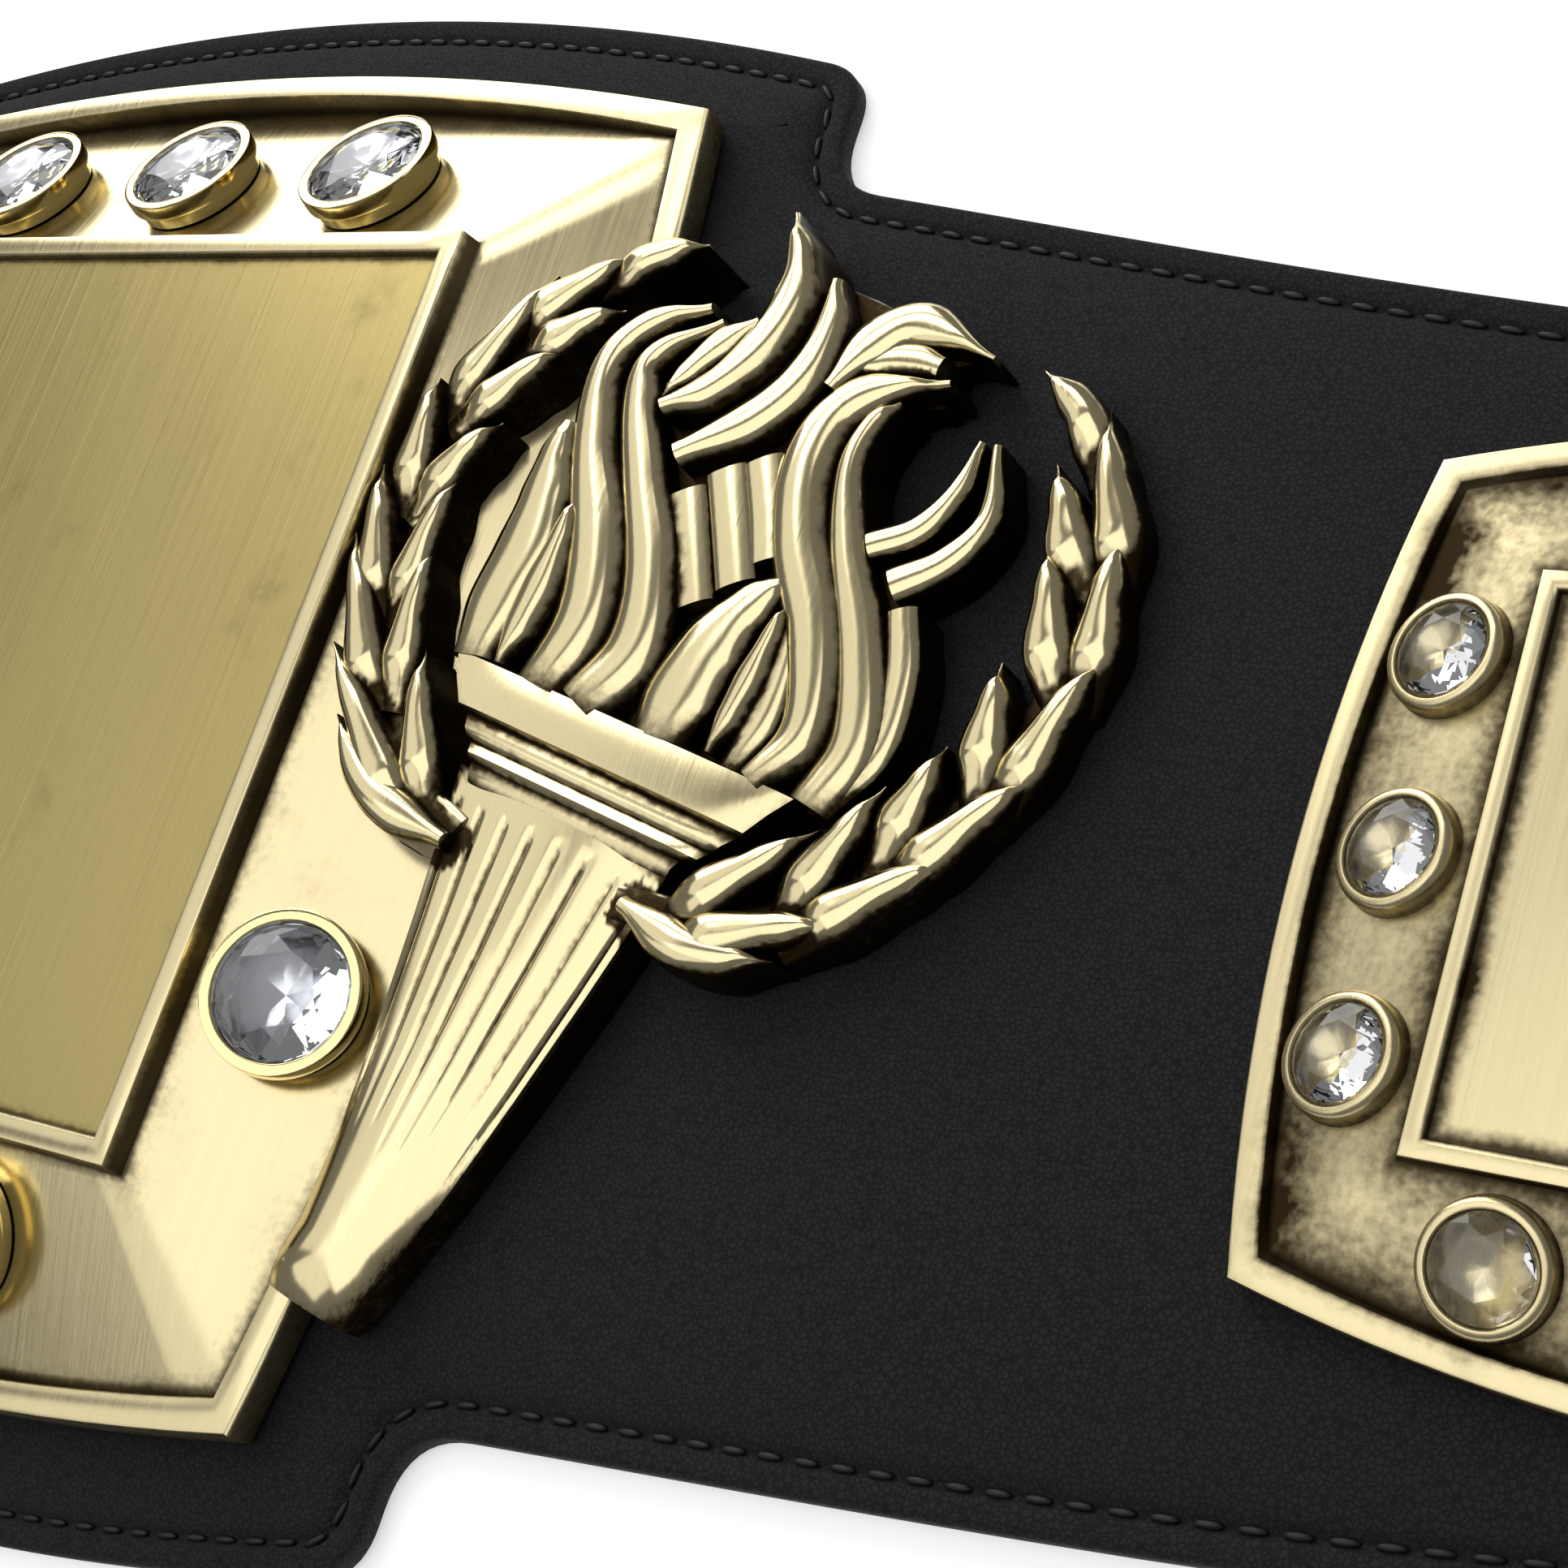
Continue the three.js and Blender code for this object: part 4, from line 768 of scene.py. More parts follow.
def ridge(spine, halves, rise, drops=(0.0, 0.0), shade=None):
    """A cast ridge along a spine: rounded crown, crisp edges and walls down to the casting's foot."""
    path = smooth_path(spine, RIDGE_STEPS)
    section = [(-row["across"], row) for row in reversed(RIDGE_SECTION)]
    section += [(row["across"], row) for row in RIDGE_SECTION[1:]]
    verts, faces, marks = [], [], []
    width = len(section) + 2
    for i, (place, share) in enumerate(path):
        near = path[max(i - 1, 0)][0]
        far = path[min(i + 1, len(path) - 1)][0]
        along = (far - near).normalized()
        half = blended(halves, share)
        edge = face_height(place.x, place.y) - blended(drops, share)
        lift = rise * min(1.0, half / (0.35 * max(halves)))
        row_verts = []
        for across, row in section:
            u, v = place.x + along.y * half * across, place.y - along.x * half * across
            height = edge + lift * row["rise"] - row["drop"]
            # Darker toward the flanks and walls: patina and painted shade, plus the shade near the bowl
            mark = row["patina_and_shade"] + (shade(v) if shade else 0.0)
            row_verts.append((u, v, height, min(1.0, mark)))
        left, right = row_verts[0], row_verts[-1]
        row_verts.insert(0, (left[0], left[1], min(casting_foot(*left[:2]), left[2] - 0.1), 1.0))
        row_verts.append((right[0], right[1], min(casting_foot(*right[:2]), right[2] - 0.1), 1.0))
        for u, v, height, mark in row_verts:
            verts.append(torch_place(u, v, height))
            marks.append(mark)
    for i in range(len(path) - 1):
        for j in range(width):
            a, b = i * width + j, i * width + (j + 1) % width
            faces.append((a, b, b + width, a + width))
    faces.append(tuple(reversed(range(width))))
    end = (len(path) - 1) * width
    faces.append(tuple(range(end, end + width)))
    return verts, faces, marks


def slab(outline, drop, mark, round_edge=0.35):
    """A flat-topped piece of the casting over an outline that runs counter-clockwise."""
    centre = sum((Vector(p) for p in outline), Vector((0, 0))) / len(outline)
    inner = [Vector(p) + (centre - Vector(p)).normalized() * round_edge for p in outline]
    top = [face_height(u, v) - drop for u, v in outline]
    loops = [
        [torch_place(u, v, min(casting_foot(u, v), h - 1)) for (u, v), h in zip(outline, top)],
        [torch_place(u, v, h - 1.2) for (u, v), h in zip(outline, top)],
        [torch_place(u, v, h - round_edge) for (u, v), h in zip(outline, top)],
        [torch_place(p.x, p.y, face_height(p.x, p.y) - drop) for p in inner],
    ]
    # Walls darken toward the foot: patina and painted shade
    return skin(loops, [1.0, 0.9, 0.3, mark])


def leaf(node, along, tip):
    """One leaf of a pair: it rises beside the node, its inner edge at the notch, and ends at its tip."""
    reach = tip - node
    outward = (reach - along * reach.dot(along)).normalized()
    root = node - along * LEAF["root"] + outward * LEAF["half"] * 0.3
    beside = node + outward * LEAF["half"]
    middle = node + reach * 0.5 + outward * LEAF["half"] * LEAF["bow"]
    halves = [LEAF["half"] * share for share in LEAF_WIDTHS]
    drops = [LEAF["sink"] * share for share in LEAF_DROPS]
    return ridge([root, beside, middle, tip], halves, LEAF["rise"], drops)


def branch(rows, single):
    """One laurel branch: stem, pairs of leaves, a leaf below its root and a leaf at its end."""
    halves = [LEAF["half"] * share for share in END_LEAF_WIDTHS]
    parts = [
        ridge(single["stem"], (STEM["half"],) * 3, STEM["rise"], (STEM["start"],) + (STEM["drop"],) * 3),
        ridge(single["end"], halves, LEAF["rise"], (LEAF["sink"], 0, 0)),
        ridge(single["skirt"], halves, LEAF["rise"], SKIRT_DROPS),
    ]
    for row in rows:
        node, outer, inner = Vector(row["node"]), Vector(row["outer"]), Vector(row["inner"])
        along = ((outer + inner) / 2 - node).normalized()
        parts += [leaf(node, along, outer), leaf(node, along, inner)]
    return parts


def handle_row(v):
    """The handle's edges, drop and crown at a height, between the listed rows."""
    k = max(j for j, row in enumerate(HANDLE_ROWS[:-1]) if v <= row["v"] + 1e-6)
    a, b = HANDLE_ROWS[k], HANDLE_ROWS[k + 1]
    t = (a["v"] - v) / (a["v"] - b["v"])
    return {key: a[key] * (1 - t) + b[key] * t for key in ("left", "right", "drop", "crown")}


def handle():
    """The handle's tapering body: a crowned face with round-ended flutes that fade above the tip."""
    columns, steps = HANDLE_GRID["columns"], HANDLE_GRID["steps"]
    rings = []
    top, tip = HANDLE_ROWS[0]["v"], HANDLE_ROWS[-1]["v"]
    for i in range(steps + 1):
        v = top + (tip - top) * i / steps
        row = handle_row(v)
        fade = min(1.0, max(0.0, (v - FLUTES["tip"]) / FLUTES["fade"]))
        rounding = max(0.0, (HANDLE_TIP["top"] - v) / (HANDLE_TIP["top"] - tip)) ** HANDLE_TIP["power"]
        ring = []
        for j in range(columns + 1):
            s = 2 * j / columns - 1
            u = row["left"] + (row["right"] - row["left"]) * (s + 1) / 2
            height = face_height(u, v) - row["drop"] - row["crown"] * abs(s) ** 2.6
            phase = (s / FLUTES["spread"] + 1) / 2 * FLUTES["count"] % 1
            round_top = math.sqrt(max(0.0, 1 - (2 * phase - 1) ** 2))
            begin = FLUTES["top"] + (round_top - 1) * FLUTES["round"] * 0.8
            start = min(1.0, max(0.0, (begin - v) / FLUTES["start"]))
            groove = 0.0 if abs(s) > FLUTES["spread"] else abs(2 * phase - 1) ** FLUTES["power"]
            height -= FLUTES["rise"] * start * fade * groove
            # Darker in the flute grooves and at the handle's edges: patina and painted shade
            mark = min(1.0, FLUTES["patina_and_shade"] * groove * start * fade + max(0.0, abs(s) - 0.96) * 8)
            ring.append((u, v, height - HANDLE_TIP["drop"] * rounding, mark))
        rings.append(ring)
    return relief(rings)


def relief(rings):
    """A closed body under rows of places (u, v, height, patina) down the torch, each from the left."""
    verts, faces, marks = [], [], []
    for ring in rings:
        (left_u, left_v, left_h, _), (right_u, right_v, right_h, _) = ring[0], ring[-1]
        # Side walls are fully dark: patina and painted shade
        left = [(left_u, left_v, min(casting_foot(left_u, left_v), left_h - 1.4), 1.0),
                (left_u, left_v, left_h - 1.2, 1.0)]
        right = [(right_u, right_v, right_h - 1.2, 1.0),
                 (right_u, right_v, min(casting_foot(right_u, right_v), right_h - 1.4), 1.0)]
        for u, v, height, mark in left + ring + right:
            verts.append(torch_place(u, v, height))
            marks.append(mark)
    width = len(rings[0]) + 4
    for i in range(len(rings) - 1):
        for j in range(width):
            a, b = i * width + j, i * width + (j + 1) % width
            faces.append((a, a + width, b + width, b))
    faces.append(tuple(range(width)))
    end = (len(rings) - 1) * width
    faces.append(tuple(reversed(range(end, end + width))))
    return verts, faces, marks


def bowl():
    """The bowl's band and mouldings, a little rounded toward both ends."""
    rings = []
    for row in BOWL_ROWS:
        ring = []
        for j in range(BOWL_COLUMNS + 1):
            s = 2 * j / BOWL_COLUMNS - 1
            u = row["left"] + (row["right"] - row["left"]) * (s + 1) / 2
            height = face_height(u, row["v"]) + row["rise"] - 0.5 * abs(s) ** 10
            # Darker in the grooves and toward both ends: patina and painted shade
            ring.append((u, row["v"], height, min(1.0, row["patina_and_shade"] + 0.4 * abs(s) ** 14)))
        rings.append(ring)
    return relief(rings)


def flame_floor():
    """The flame's recessed floor, its outline smoothed through the listed corners; its top is fully dark, a
    painted shadow.
    """
    outline = [tuple(place) for place, _ in smooth_path(FLAME_SLAB + FLAME_SLAB[:1], 3)][:-1]
    return slab(list(reversed(outline)), TORCH["slab_drop"], 1.0)


def bowl_shade(v):
    """The soft dark tone in which the flame rises from the bowl."""
    return 0.75 * max(0.0, 1 - (v - BOWL_ROWS[1]["v"]) / BOWL_SHADE_HEIGHT) ** 1.5


def torch_parts():
    parts = [flame_floor(), handle(), bowl()]
    for tongue in TONGUES:
        halves = [share * tongue["half"] * FULLNESS for share in tongue["widths"]]
        parts.append(ridge(tongue["spine"], halves, tongue["rise"], shade=bowl_shade))
    return recessed(joined(parts + branch(LEFT_LEAVES, LEFT_BRANCH) + branch(RIGHT_LEAVES, RIGHT_BRANCH)))


# Shader node groups and materials
def new_group(name, inputs, outputs):
    group = bpy.data.node_groups.new(name, "ShaderNodeTree")
    for label, kind, default in inputs:
        socket = group.interface.new_socket(name=label, in_out="INPUT", socket_type=kind)
        socket.default_value = default
    for label, kind in outputs:
        group.interface.new_socket(name=label, in_out="OUTPUT", socket_type=kind)
    return group, group.nodes.new("NodeGroupInput"), group.nodes.new("NodeGroupOutput")


def add_node(tree, kind, **values):
    """A node with its properties set, and its input sockets set by name."""
    node = tree.nodes.new(kind)
    for key, value in values.items():
        if hasattr(node, key):
            setattr(node, key, value)
        else:
            node.inputs[key.replace("_", " ")].default_value = value
    return node


def math_node(tree, operation, first, second, clamp=False):
    node = tree.nodes.new("ShaderNodeMath")
    node.operation = operation
    node.use_clamp = clamp
    for i, value in enumerate((first, second)):
        if isinstance(value, (int, float)):
            node.inputs[i].default_value = value
        else:
            tree.links.new(value, node.inputs[i])
    return node.outputs[0]


def mix_colour(tree, factor, first, second):
    node = tree.nodes.new("ShaderNodeMix")
    node.data_type = "RGBA"
    sockets = (node.inputs[0], node.inputs[6], node.inputs[7])
    for socket, value in zip(sockets, (factor, first, second)):
        if isinstance(value, (int, float)):
            socket.default_value = value
        elif isinstance(value, (tuple, list)):
            socket.default_value = (*value, 1) if len(value) == 3 else value
        else:
            tree.links.new(value, socket)
    return node.outputs[2]


def ramp(tree, value, low, high):
    node = tree.nodes.new("ShaderNodeMapRange")
    node.interpolation_type = "SMOOTHSTEP"
    node.inputs["From Min"].default_value = low
    node.inputs["From Max"].default_value = high
    tree.links.new(value, node.inputs["Value"])
    return node.outputs["Result"]


def patina_and_shade_group():
    """Where the dark tone stays: patina and painted shade in recesses, uneven at its edge, and where the
    plating has tarnished.
    """
    group, given, out = new_group(
        "Patina and Shade", [("Amount", "NodeSocketFloat", 1.0), ("Cloud Size", "NodeSocketFloat", 60.0),
                   ("Tarnish", "NodeSocketFloat", 0.2)],
        [("Mask", "NodeSocketFloat"), ("Cloud", "NodeSocketFloat")])
    coordinates = group.nodes.new("ShaderNodeTexCoord")
    recess = add_node(group, "ShaderNodeAttribute", attribute_name="patina_and_shade")
    cloud = add_node(group, "ShaderNodeTexNoise", Detail=4.0, Roughness=0.6)
    fine = add_node(group, "ShaderNodeTexNoise", Scale=900.0, Detail=3.0)
    group.links.new(coordinates.outputs["Object"], cloud.inputs["Vector"])
    group.links.new(coordinates.outputs["Object"], fine.inputs["Vector"])
    group.links.new(given.outputs["Cloud Size"], cloud.inputs["Scale"])
    wobble = math_node(group, "MULTIPLY", math_node(group, "SUBTRACT", fine.outputs["Fac"], 0.5), 0.5)
    drift = math_node(group, "MULTIPLY", math_node(group, "SUBTRACT", cloud.outputs["Fac"], 0.5), 0.9)
    edge = math_node(group, "ADD", recess.outputs["Fac"], math_node(group, "ADD", wobble, drift))
    deep = math_node(group, "MULTIPLY", ramp(group, edge, 0.12, 1.0), given.outputs["Amount"])
    cloudy = ramp(group, cloud.outputs["Fac"], 0.55, 0.8)
    spots = math_node(group, "MULTIPLY", cloudy, given.outputs["Tarnish"])
    mask = math_node(group, "ADD", deep, spots, clamp=True)
    group.links.new(mask, out.inputs["Mask"])
    group.links.new(cloud.outputs["Fac"], out.inputs["Cloud"])
    return group


def streaks_group():
    """Brushing: fine streaks in one direction with a few longer scratches."""
    group, given, out = new_group(
        "Brushing", [("Across", "NodeSocketFloat", 1500.0), ("Along", "NodeSocketFloat", 18.0),
                     ("Turn", "NodeSocketFloat", 0.0)],
        [("Streaks", "NodeSocketFloat"), ("Scratches", "NodeSocketFloat")])
    coordinates = group.nodes.new("ShaderNodeTexCoord")
    turn = group.nodes.new("ShaderNodeVectorRotate")
    turn.rotation_type = "Z_AXIS"
    group.links.new(coordinates.outputs["Object"], turn.inputs["Vector"])
    group.links.new(given.outputs["Turn"], turn.inputs["Angle"])
    size = group.nodes.new("ShaderNodeCombineXYZ")
    group.links.new(given.outputs["Across"], size.inputs["X"])
    group.links.new(given.outputs["Along"], size.inputs["Y"])
    size.inputs["Z"].default_value = 200.0
    stretched = group.nodes.new("ShaderNodeVectorMath")
    stretched.operation = "MULTIPLY"
    group.links.new(turn.outputs["Vector"], stretched.inputs[0])
    group.links.new(size.outputs["Vector"], stretched.inputs[1])
    noise = add_node(group, "ShaderNodeTexNoise", Scale=1.0, Detail=5.0, Roughness=0.7)
    group.links.new(stretched.outputs["Vector"], noise.inputs["Vector"])
    broad = add_node(group, "ShaderNodeTexNoise", Scale=0.22, Detail=2.0)
    group.links.new(stretched.outputs["Vector"], broad.inputs["Vector"])
    group.links.new(noise.outputs["Fac"], out.inputs["Streaks"])
    group.links.new(ramp(group, broad.outputs["Fac"], 0.62, 0.68), out.inputs["Scratches"])
    return group


def grain_group():
    """Leather grain: small uneven pebbles with fine creases between them."""
    group, given, out = new_group(
        "Leather Grain", [("Density", "NodeSocketFloat", 1200.0)],
        [("Height", "NodeSocketFloat"), ("Crease", "NodeSocketFloat"), ("Cloud", "NodeSocketFloat")])
    coordinates = group.nodes.new("ShaderNodeTexCoord")
    warp = add_node(group, "ShaderNodeTexNoise", Scale=500.0, Detail=2.0)
    group.links.new(coordinates.outputs["Object"], warp.inputs["Vector"])
    shift = group.nodes.new("ShaderNodeVectorMath")
    shift.operation = "MULTIPLY_ADD"
    group.links.new(warp.outputs["Color"], shift.inputs[0])
    shift.inputs[1].default_value = (0.0007, 0.0007, 0.0007)
    group.links.new(coordinates.outputs["Object"], shift.inputs[2])
    cells = group.nodes.new("ShaderNodeTexVoronoi")
    cells.feature = "DISTANCE_TO_EDGE"
    group.links.new(shift.outputs["Vector"], cells.inputs["Vector"])
    group.links.new(given.outputs["Density"], cells.inputs["Scale"])
    pebble = ramp(group, cells.outputs["Distance"], 0.0, 0.22)
    fine = add_node(group, "ShaderNodeTexNoise", Scale=3500.0, Detail=2.0)
    group.links.new(coordinates.outputs["Object"], fine.inputs["Vector"])
    height = math_node(group, "ADD", math_node(group, "MULTIPLY", pebble, 0.8),
                       math_node(group, "MULTIPLY", fine.outputs["Fac"], 0.3))
    cloud = add_node(group, "ShaderNodeTexNoise", Scale=14.0, Detail=3.0)
    group.links.new(coordinates.outputs["Object"], cloud.inputs["Vector"])
    group.links.new(height, out.inputs["Height"])
    group.links.new(math_node(group, "SUBTRACT", 1.0, pebble), out.inputs["Crease"])
    group.links.new(cloud.outputs["Fac"], out.inputs["Cloud"])
    return group


def shared_group(name, build):
    return bpy.data.node_groups.get(name) or build()


def new_material(name):
    material = bpy.data.materials.new(name)
    material.use_nodes = True
    tree = material.node_tree
    return material, tree, tree.nodes["Principled BSDF"]


def placed_group(tree, group, **values):
    node = tree.nodes.new("ShaderNodeGroup")
    node.node_tree = group
    for key, value in values.items():
        node.inputs[key.replace("_", " ")].default_value = value
    return node


def add_bump(tree, shader, height, strength, distance):
    bump = tree.nodes.new("ShaderNodeBump")
    bump.inputs["Strength"].default_value = strength
    bump.inputs["Distance"].default_value = distance
    tree.links.new(height, bump.inputs["Height"])
    tree.links.new(bump.outputs["Normal"], shader.inputs["Normal"])


def leather_material(sizes, colours):
    material, tree, shader = new_material("Padded Leather")
    grain = placed_group(tree, shared_group("Leather Grain", grain_group), Density=1 / sizes.grain)
    dark = tuple(c * 0.55 for c in colours.leather)
    light = tuple(c * 1.5 for c in colours.leather)
    worn = mix_colour(tree, grain.outputs["Cloud"], tuple(colours.leather), light)
    tree.links.new(mix_colour(tree, grain.outputs["Crease"], worn, dark), shader.inputs["Base Color"])
    rough = math_node(tree, "ADD", math_node(tree, "MULTIPLY", grain.outputs["Crease"], 0.12),
                      math_node(tree, "MULTIPLY", grain.outputs["Cloud"], 0.1))
    tree.links.new(math_node(tree, "ADD", rough, LEATHER_ROUGHNESS), shader.inputs["Roughness"])
    shader.inputs["Specular IOR Level"].default_value = 0.5
    add_bump(tree, shader, grain.outputs["Height"], 0.25, 0.00018)
    return material


def thread_material(colours):
    material, tree, shader = new_material("Waxed Thread")
    streaks = placed_group(tree, shared_group("Brushing", streaks_group), Across=2600.0, Along=2600.0)
    light = tuple(c * 2.2 for c in colours.thread)
    tree.links.new(mix_colour(tree, streaks.outputs["Streaks"], tuple(colours.thread), light),
                   shader.inputs["Base Color"])
    shader.inputs["Roughness"].default_value = 0.5
    add_bump(tree, shader, streaks.outputs["Streaks"], 0.4, 0.0001)
    return material


def gold_material(name, gold, colours, amount, tarnish, rough, brushed, turn=0.0, cloud=60.0):
    """Gold plating with patina and painted shade in its recesses; brushed from 0 for polished to 1 for a
    brushed face.
    """
    material, tree, shader = new_material(name)
    patina_and_shade = placed_group(tree, shared_group("Patina and Shade", patina_and_shade_group), Amount=amount, Tarnish=tarnish,
                          Cloud_Size=cloud)
    streaks = placed_group(tree, shared_group("Brushing", streaks_group), Turn=turn)
    pale = tuple(min(1.0, c * 1.06) for c in gold)
    deep = tuple(c * (1 - 0.25 * brushed) for c in gold)
    clean = mix_colour(tree, streaks.outputs["Streaks"], deep, pale)
    # Recesses and grooves blend toward the dark tone: patina and painted shade
    tree.links.new(mix_colour(tree, patina_and_shade.outputs["Mask"], clean, tuple(colours.patina_and_shade)),
                   shader.inputs["Base Color"])
    shader.inputs["Metallic"].default_value = 1.0
    spread = math_node(tree, "MULTIPLY", streaks.outputs["Streaks"], 0.16 * brushed + 0.03)
    worn = math_node(tree, "MULTIPLY", patina_and_shade.outputs["Mask"], 0.3)
    total = math_node(tree, "ADD", math_node(tree, "ADD", spread, worn), rough)
    tree.links.new(total, shader.inputs["Roughness"])
    lines = math_node(tree, "ADD", streaks.outputs["Streaks"],
                      math_node(tree, "MULTIPLY", streaks.outputs["Scratches"], 0.5))
    waves = math_node(tree, "MULTIPLY", patina_and_shade.outputs["Cloud"], 2.0)
    add_bump(tree, shader, math_node(tree, "ADD", lines, waves), 0.12 * brushed + 0.03, 0.00012)
    return material


def glass_material(colours):
    material, tree, shader = new_material("Cut Glass")
    cloud = placed_group(tree, shared_group("Patina and Shade", patina_and_shade_group), Amount=0.0, Tarnish=0.04,
                         Cloud_Size=300.0)
    tinted = tuple(c * 0.9 for c in colours.glass)
    tree.links.new(mix_colour(tree, cloud.outputs["Mask"], tuple(colours.glass), tinted),
                   shader.inputs["Base Color"])
    shader.inputs["Roughness"].default_value = 0.0
    shader.inputs["IOR"].default_value = 1.6
    shader.inputs["Transmission Weight"].default_value = 1.0
    return material


def foil_material():
    material, tree, shader = new_material("Silver Foil")
    cloud = placed_group(tree, shared_group("Patina and Shade", patina_and_shade_group), Amount=0.0, Tarnish=0.5,
                         Cloud_Size=400.0)
    tree.links.new(mix_colour(tree, cloud.outputs["Mask"], (0.93, 0.93, 0.95), (0.6, 0.58, 0.55)),
                   shader.inputs["Base Color"])
    shader.inputs["Metallic"].default_value = 1.0
    shader.inputs["Roughness"].default_value = 0.18
    return material


def floor_material():
    material, tree, shader = new_material("Pale Floor")
    grain = placed_group(tree, shared_group("Leather Grain", grain_group), Density=400.0)
    tree.links.new(mix_colour(tree, grain.outputs["Cloud"], (0.9, 0.9, 0.9), (0.86, 0.86, 0.86)),
                   shader.inputs["Base Color"])
    shader.inputs["Roughness"].default_value = 0.8
    shader.inputs["Emission Color"].default_value = (1, 1, 1, 1)
    shader.inputs["Emission Strength"].default_value = FLOOR["glow"]
    return material


# Stitches
def stitch_tree(sizes, material):
    """Stitches evenly along a seam: short rounded threads turned along the path."""
    tree = bpy.data.node_groups.new("Seam Stitches", "GeometryNodeTree")
    tree.interface.new_socket(name="Seam", in_out="INPUT", socket_type="NodeSocketGeometry")
    inputs = {}
    for label, default in (("Pitch", sizes.stitch_pitch), ("Length", sizes.stitch_length),
                           ("Width", sizes.stitch_width)):
        socket = tree.interface.new_socket(name=label, in_out="INPUT", socket_type="NodeSocketFloat")
        socket.default_value = default
        inputs[label] = socket.identifier
    tree.interface.new_socket(name="Stitches", in_out="OUTPUT", socket_type="NodeSocketGeometry")
    given, out = tree.nodes.new("NodeGroupInput"), tree.nodes.new("NodeGroupOutput")
    path = tree.nodes.new("GeometryNodeMeshToCurve")
    spaced = tree.nodes.new("GeometryNodeResampleCurve")
    spaced.mode = "LENGTH"
    tangent = tree.nodes.new("GeometryNodeInputTangent")
    turn = tree.nodes.new("FunctionNodeAlignRotationToVector")
    turn.axis = "X"
    thread = tree.nodes.new("GeometryNodeMeshUVSphere")
    thread.inputs["Segments"].default_value = 8
    thread.inputs["Rings"].default_value = 6
    thread.inputs["Radius"].default_value = 0.5
    size = tree.nodes.new("ShaderNodeCombineXYZ")
    shaped = tree.nodes.new("GeometryNodeTransform")
    smooth = tree.nodes.new("GeometryNodeSetShadeSmooth")
    copies = tree.nodes.new("GeometryNodeInstanceOnPoints")
    real = tree.nodes.new("GeometryNodeRealizeInstances")
    finish = tree.nodes.new("GeometryNodeSetMaterial")
    finish.inputs["Material"].default_value = material
    links = tree.links
    links.new(given.outputs["Seam"], path.inputs["Mesh"])
    links.new(path.outputs["Curve"], spaced.inputs["Curve"])
    links.new(given.outputs["Pitch"], spaced.inputs["Length"])
    links.new(given.outputs["Length"], size.inputs["X"])
    links.new(given.outputs["Width"], size.inputs["Y"])
    links.new(given.outputs["Width"], size.inputs["Z"])
    links.new(thread.outputs["Mesh"], shaped.inputs["Geometry"])
    links.new(size.outputs["Vector"], shaped.inputs["Scale"])
    links.new(shaped.outputs["Geometry"], smooth.inputs["Geometry"])
    links.new(tangent.outputs["Tangent"], turn.inputs["Vector"])
    links.new(spaced.outputs["Curve"], copies.inputs["Points"])
    links.new(smooth.outputs["Geometry"], copies.inputs["Instance"])
    links.new(turn.outputs["Rotation"], copies.inputs["Rotation"])
    links.new(copies.outputs["Instances"], real.inputs["Geometry"])
    links.new(real.outputs["Geometry"], finish.inputs["Geometry"])
    links.new(finish.outputs["Geometry"], out.inputs["Stitches"])
    return tree, inputs


class BELT_OT_strap(bpy.types.Operator):
    """Padded leather strap with its sunk seam and folded hem"""
    bl_idname = "belt.strap"
    bl_label = "Strap"

    def execute(self, context):
        material = leather_material(context.scene.belt_sizes, context.scene.belt_colours)
        loops = [strap_loop(row["inset"], row["height"]) for row in STRAP_SECTION]
        parts = skin(loops, [0.0] * len(loops))
        strap = add_piece("strap_leather", parts, [material], ("strap",), crease=60)
        return {"FINISHED"}


class BELT_OT_stitches(bpy.types.Operator):
    """Stitches along the seam, all round the strap"""
    bl_idname = "belt.stitches"
    bl_label = "Stitches"

    def execute(self, context):
        sizes = context.scene.belt_sizes
        material = thread_material(context.scene.belt_colours)
        loop = strap_loop(SEAM_INSET, SEAM_HEIGHT)
        mesh = bpy.data.meshes.new("seam_path")
        edges = [(i, (i + 1) % len(loop)) for i in range(len(loop))]
        mesh.from_pydata([tuple(c * MM for c in p) for p in loop], edges, [])
        path = bpy.data.objects.new("seam_path", mesh)
        context.scene.collection.objects.link(path)
        tree, inputs = stitch_tree(sizes, material)
        modifier = path.modifiers.new("Stitches", "NODES")
        modifier.node_group = tree
        for label, value in (("Pitch", sizes.stitch_pitch), ("Length", sizes.stitch_length),
                             ("Width", sizes.stitch_width)):
            modifier[inputs[label]] = value
        context.view_layer.update()
        made = bpy.data.meshes.new_from_object(path.evaluated_get(context.evaluated_depsgraph_get()))
        made.name = "strap_stitches"
        stitches = bpy.data.objects.new("strap_stitches", made)
        context.scene.collection.objects.link(stitches)
        bpy.data.objects.remove(path)
        finished(stitches)
        return {"FINISHED"}


class BELT_OT_main_plate(bpy.types.Operator):
    """Main plate: rim, step, bevel bands, raised frame and bare sunk panel"""
    bl_idname = "belt.main_plate"
    bl_label = "Main Plate"

    def execute(self, context):
        colours = context.scene.belt_colours
        polished = gold_material("Polished Gold", colours.gold, colours, 0.85, 0.08, 0.13, 0.6)
        brushed = gold_material("Brushed Gold", colours.panel_gold, colours, 0.85, 0.25, 0.2, 1.0)
        parts = plate_parts(MAIN, 2.2)
        around = 4 * ARC_STEPS
        panel_start = len(parts[1]) - 1 - 3 * around
        places = [1 if i >= panel_start else 0 for i in range(len(parts[1]))]
        add_piece("main_plate_gold", parts, [polished, brushed], ("main_plate",),
                  face_materials=places)
        return {"FINISHED"}


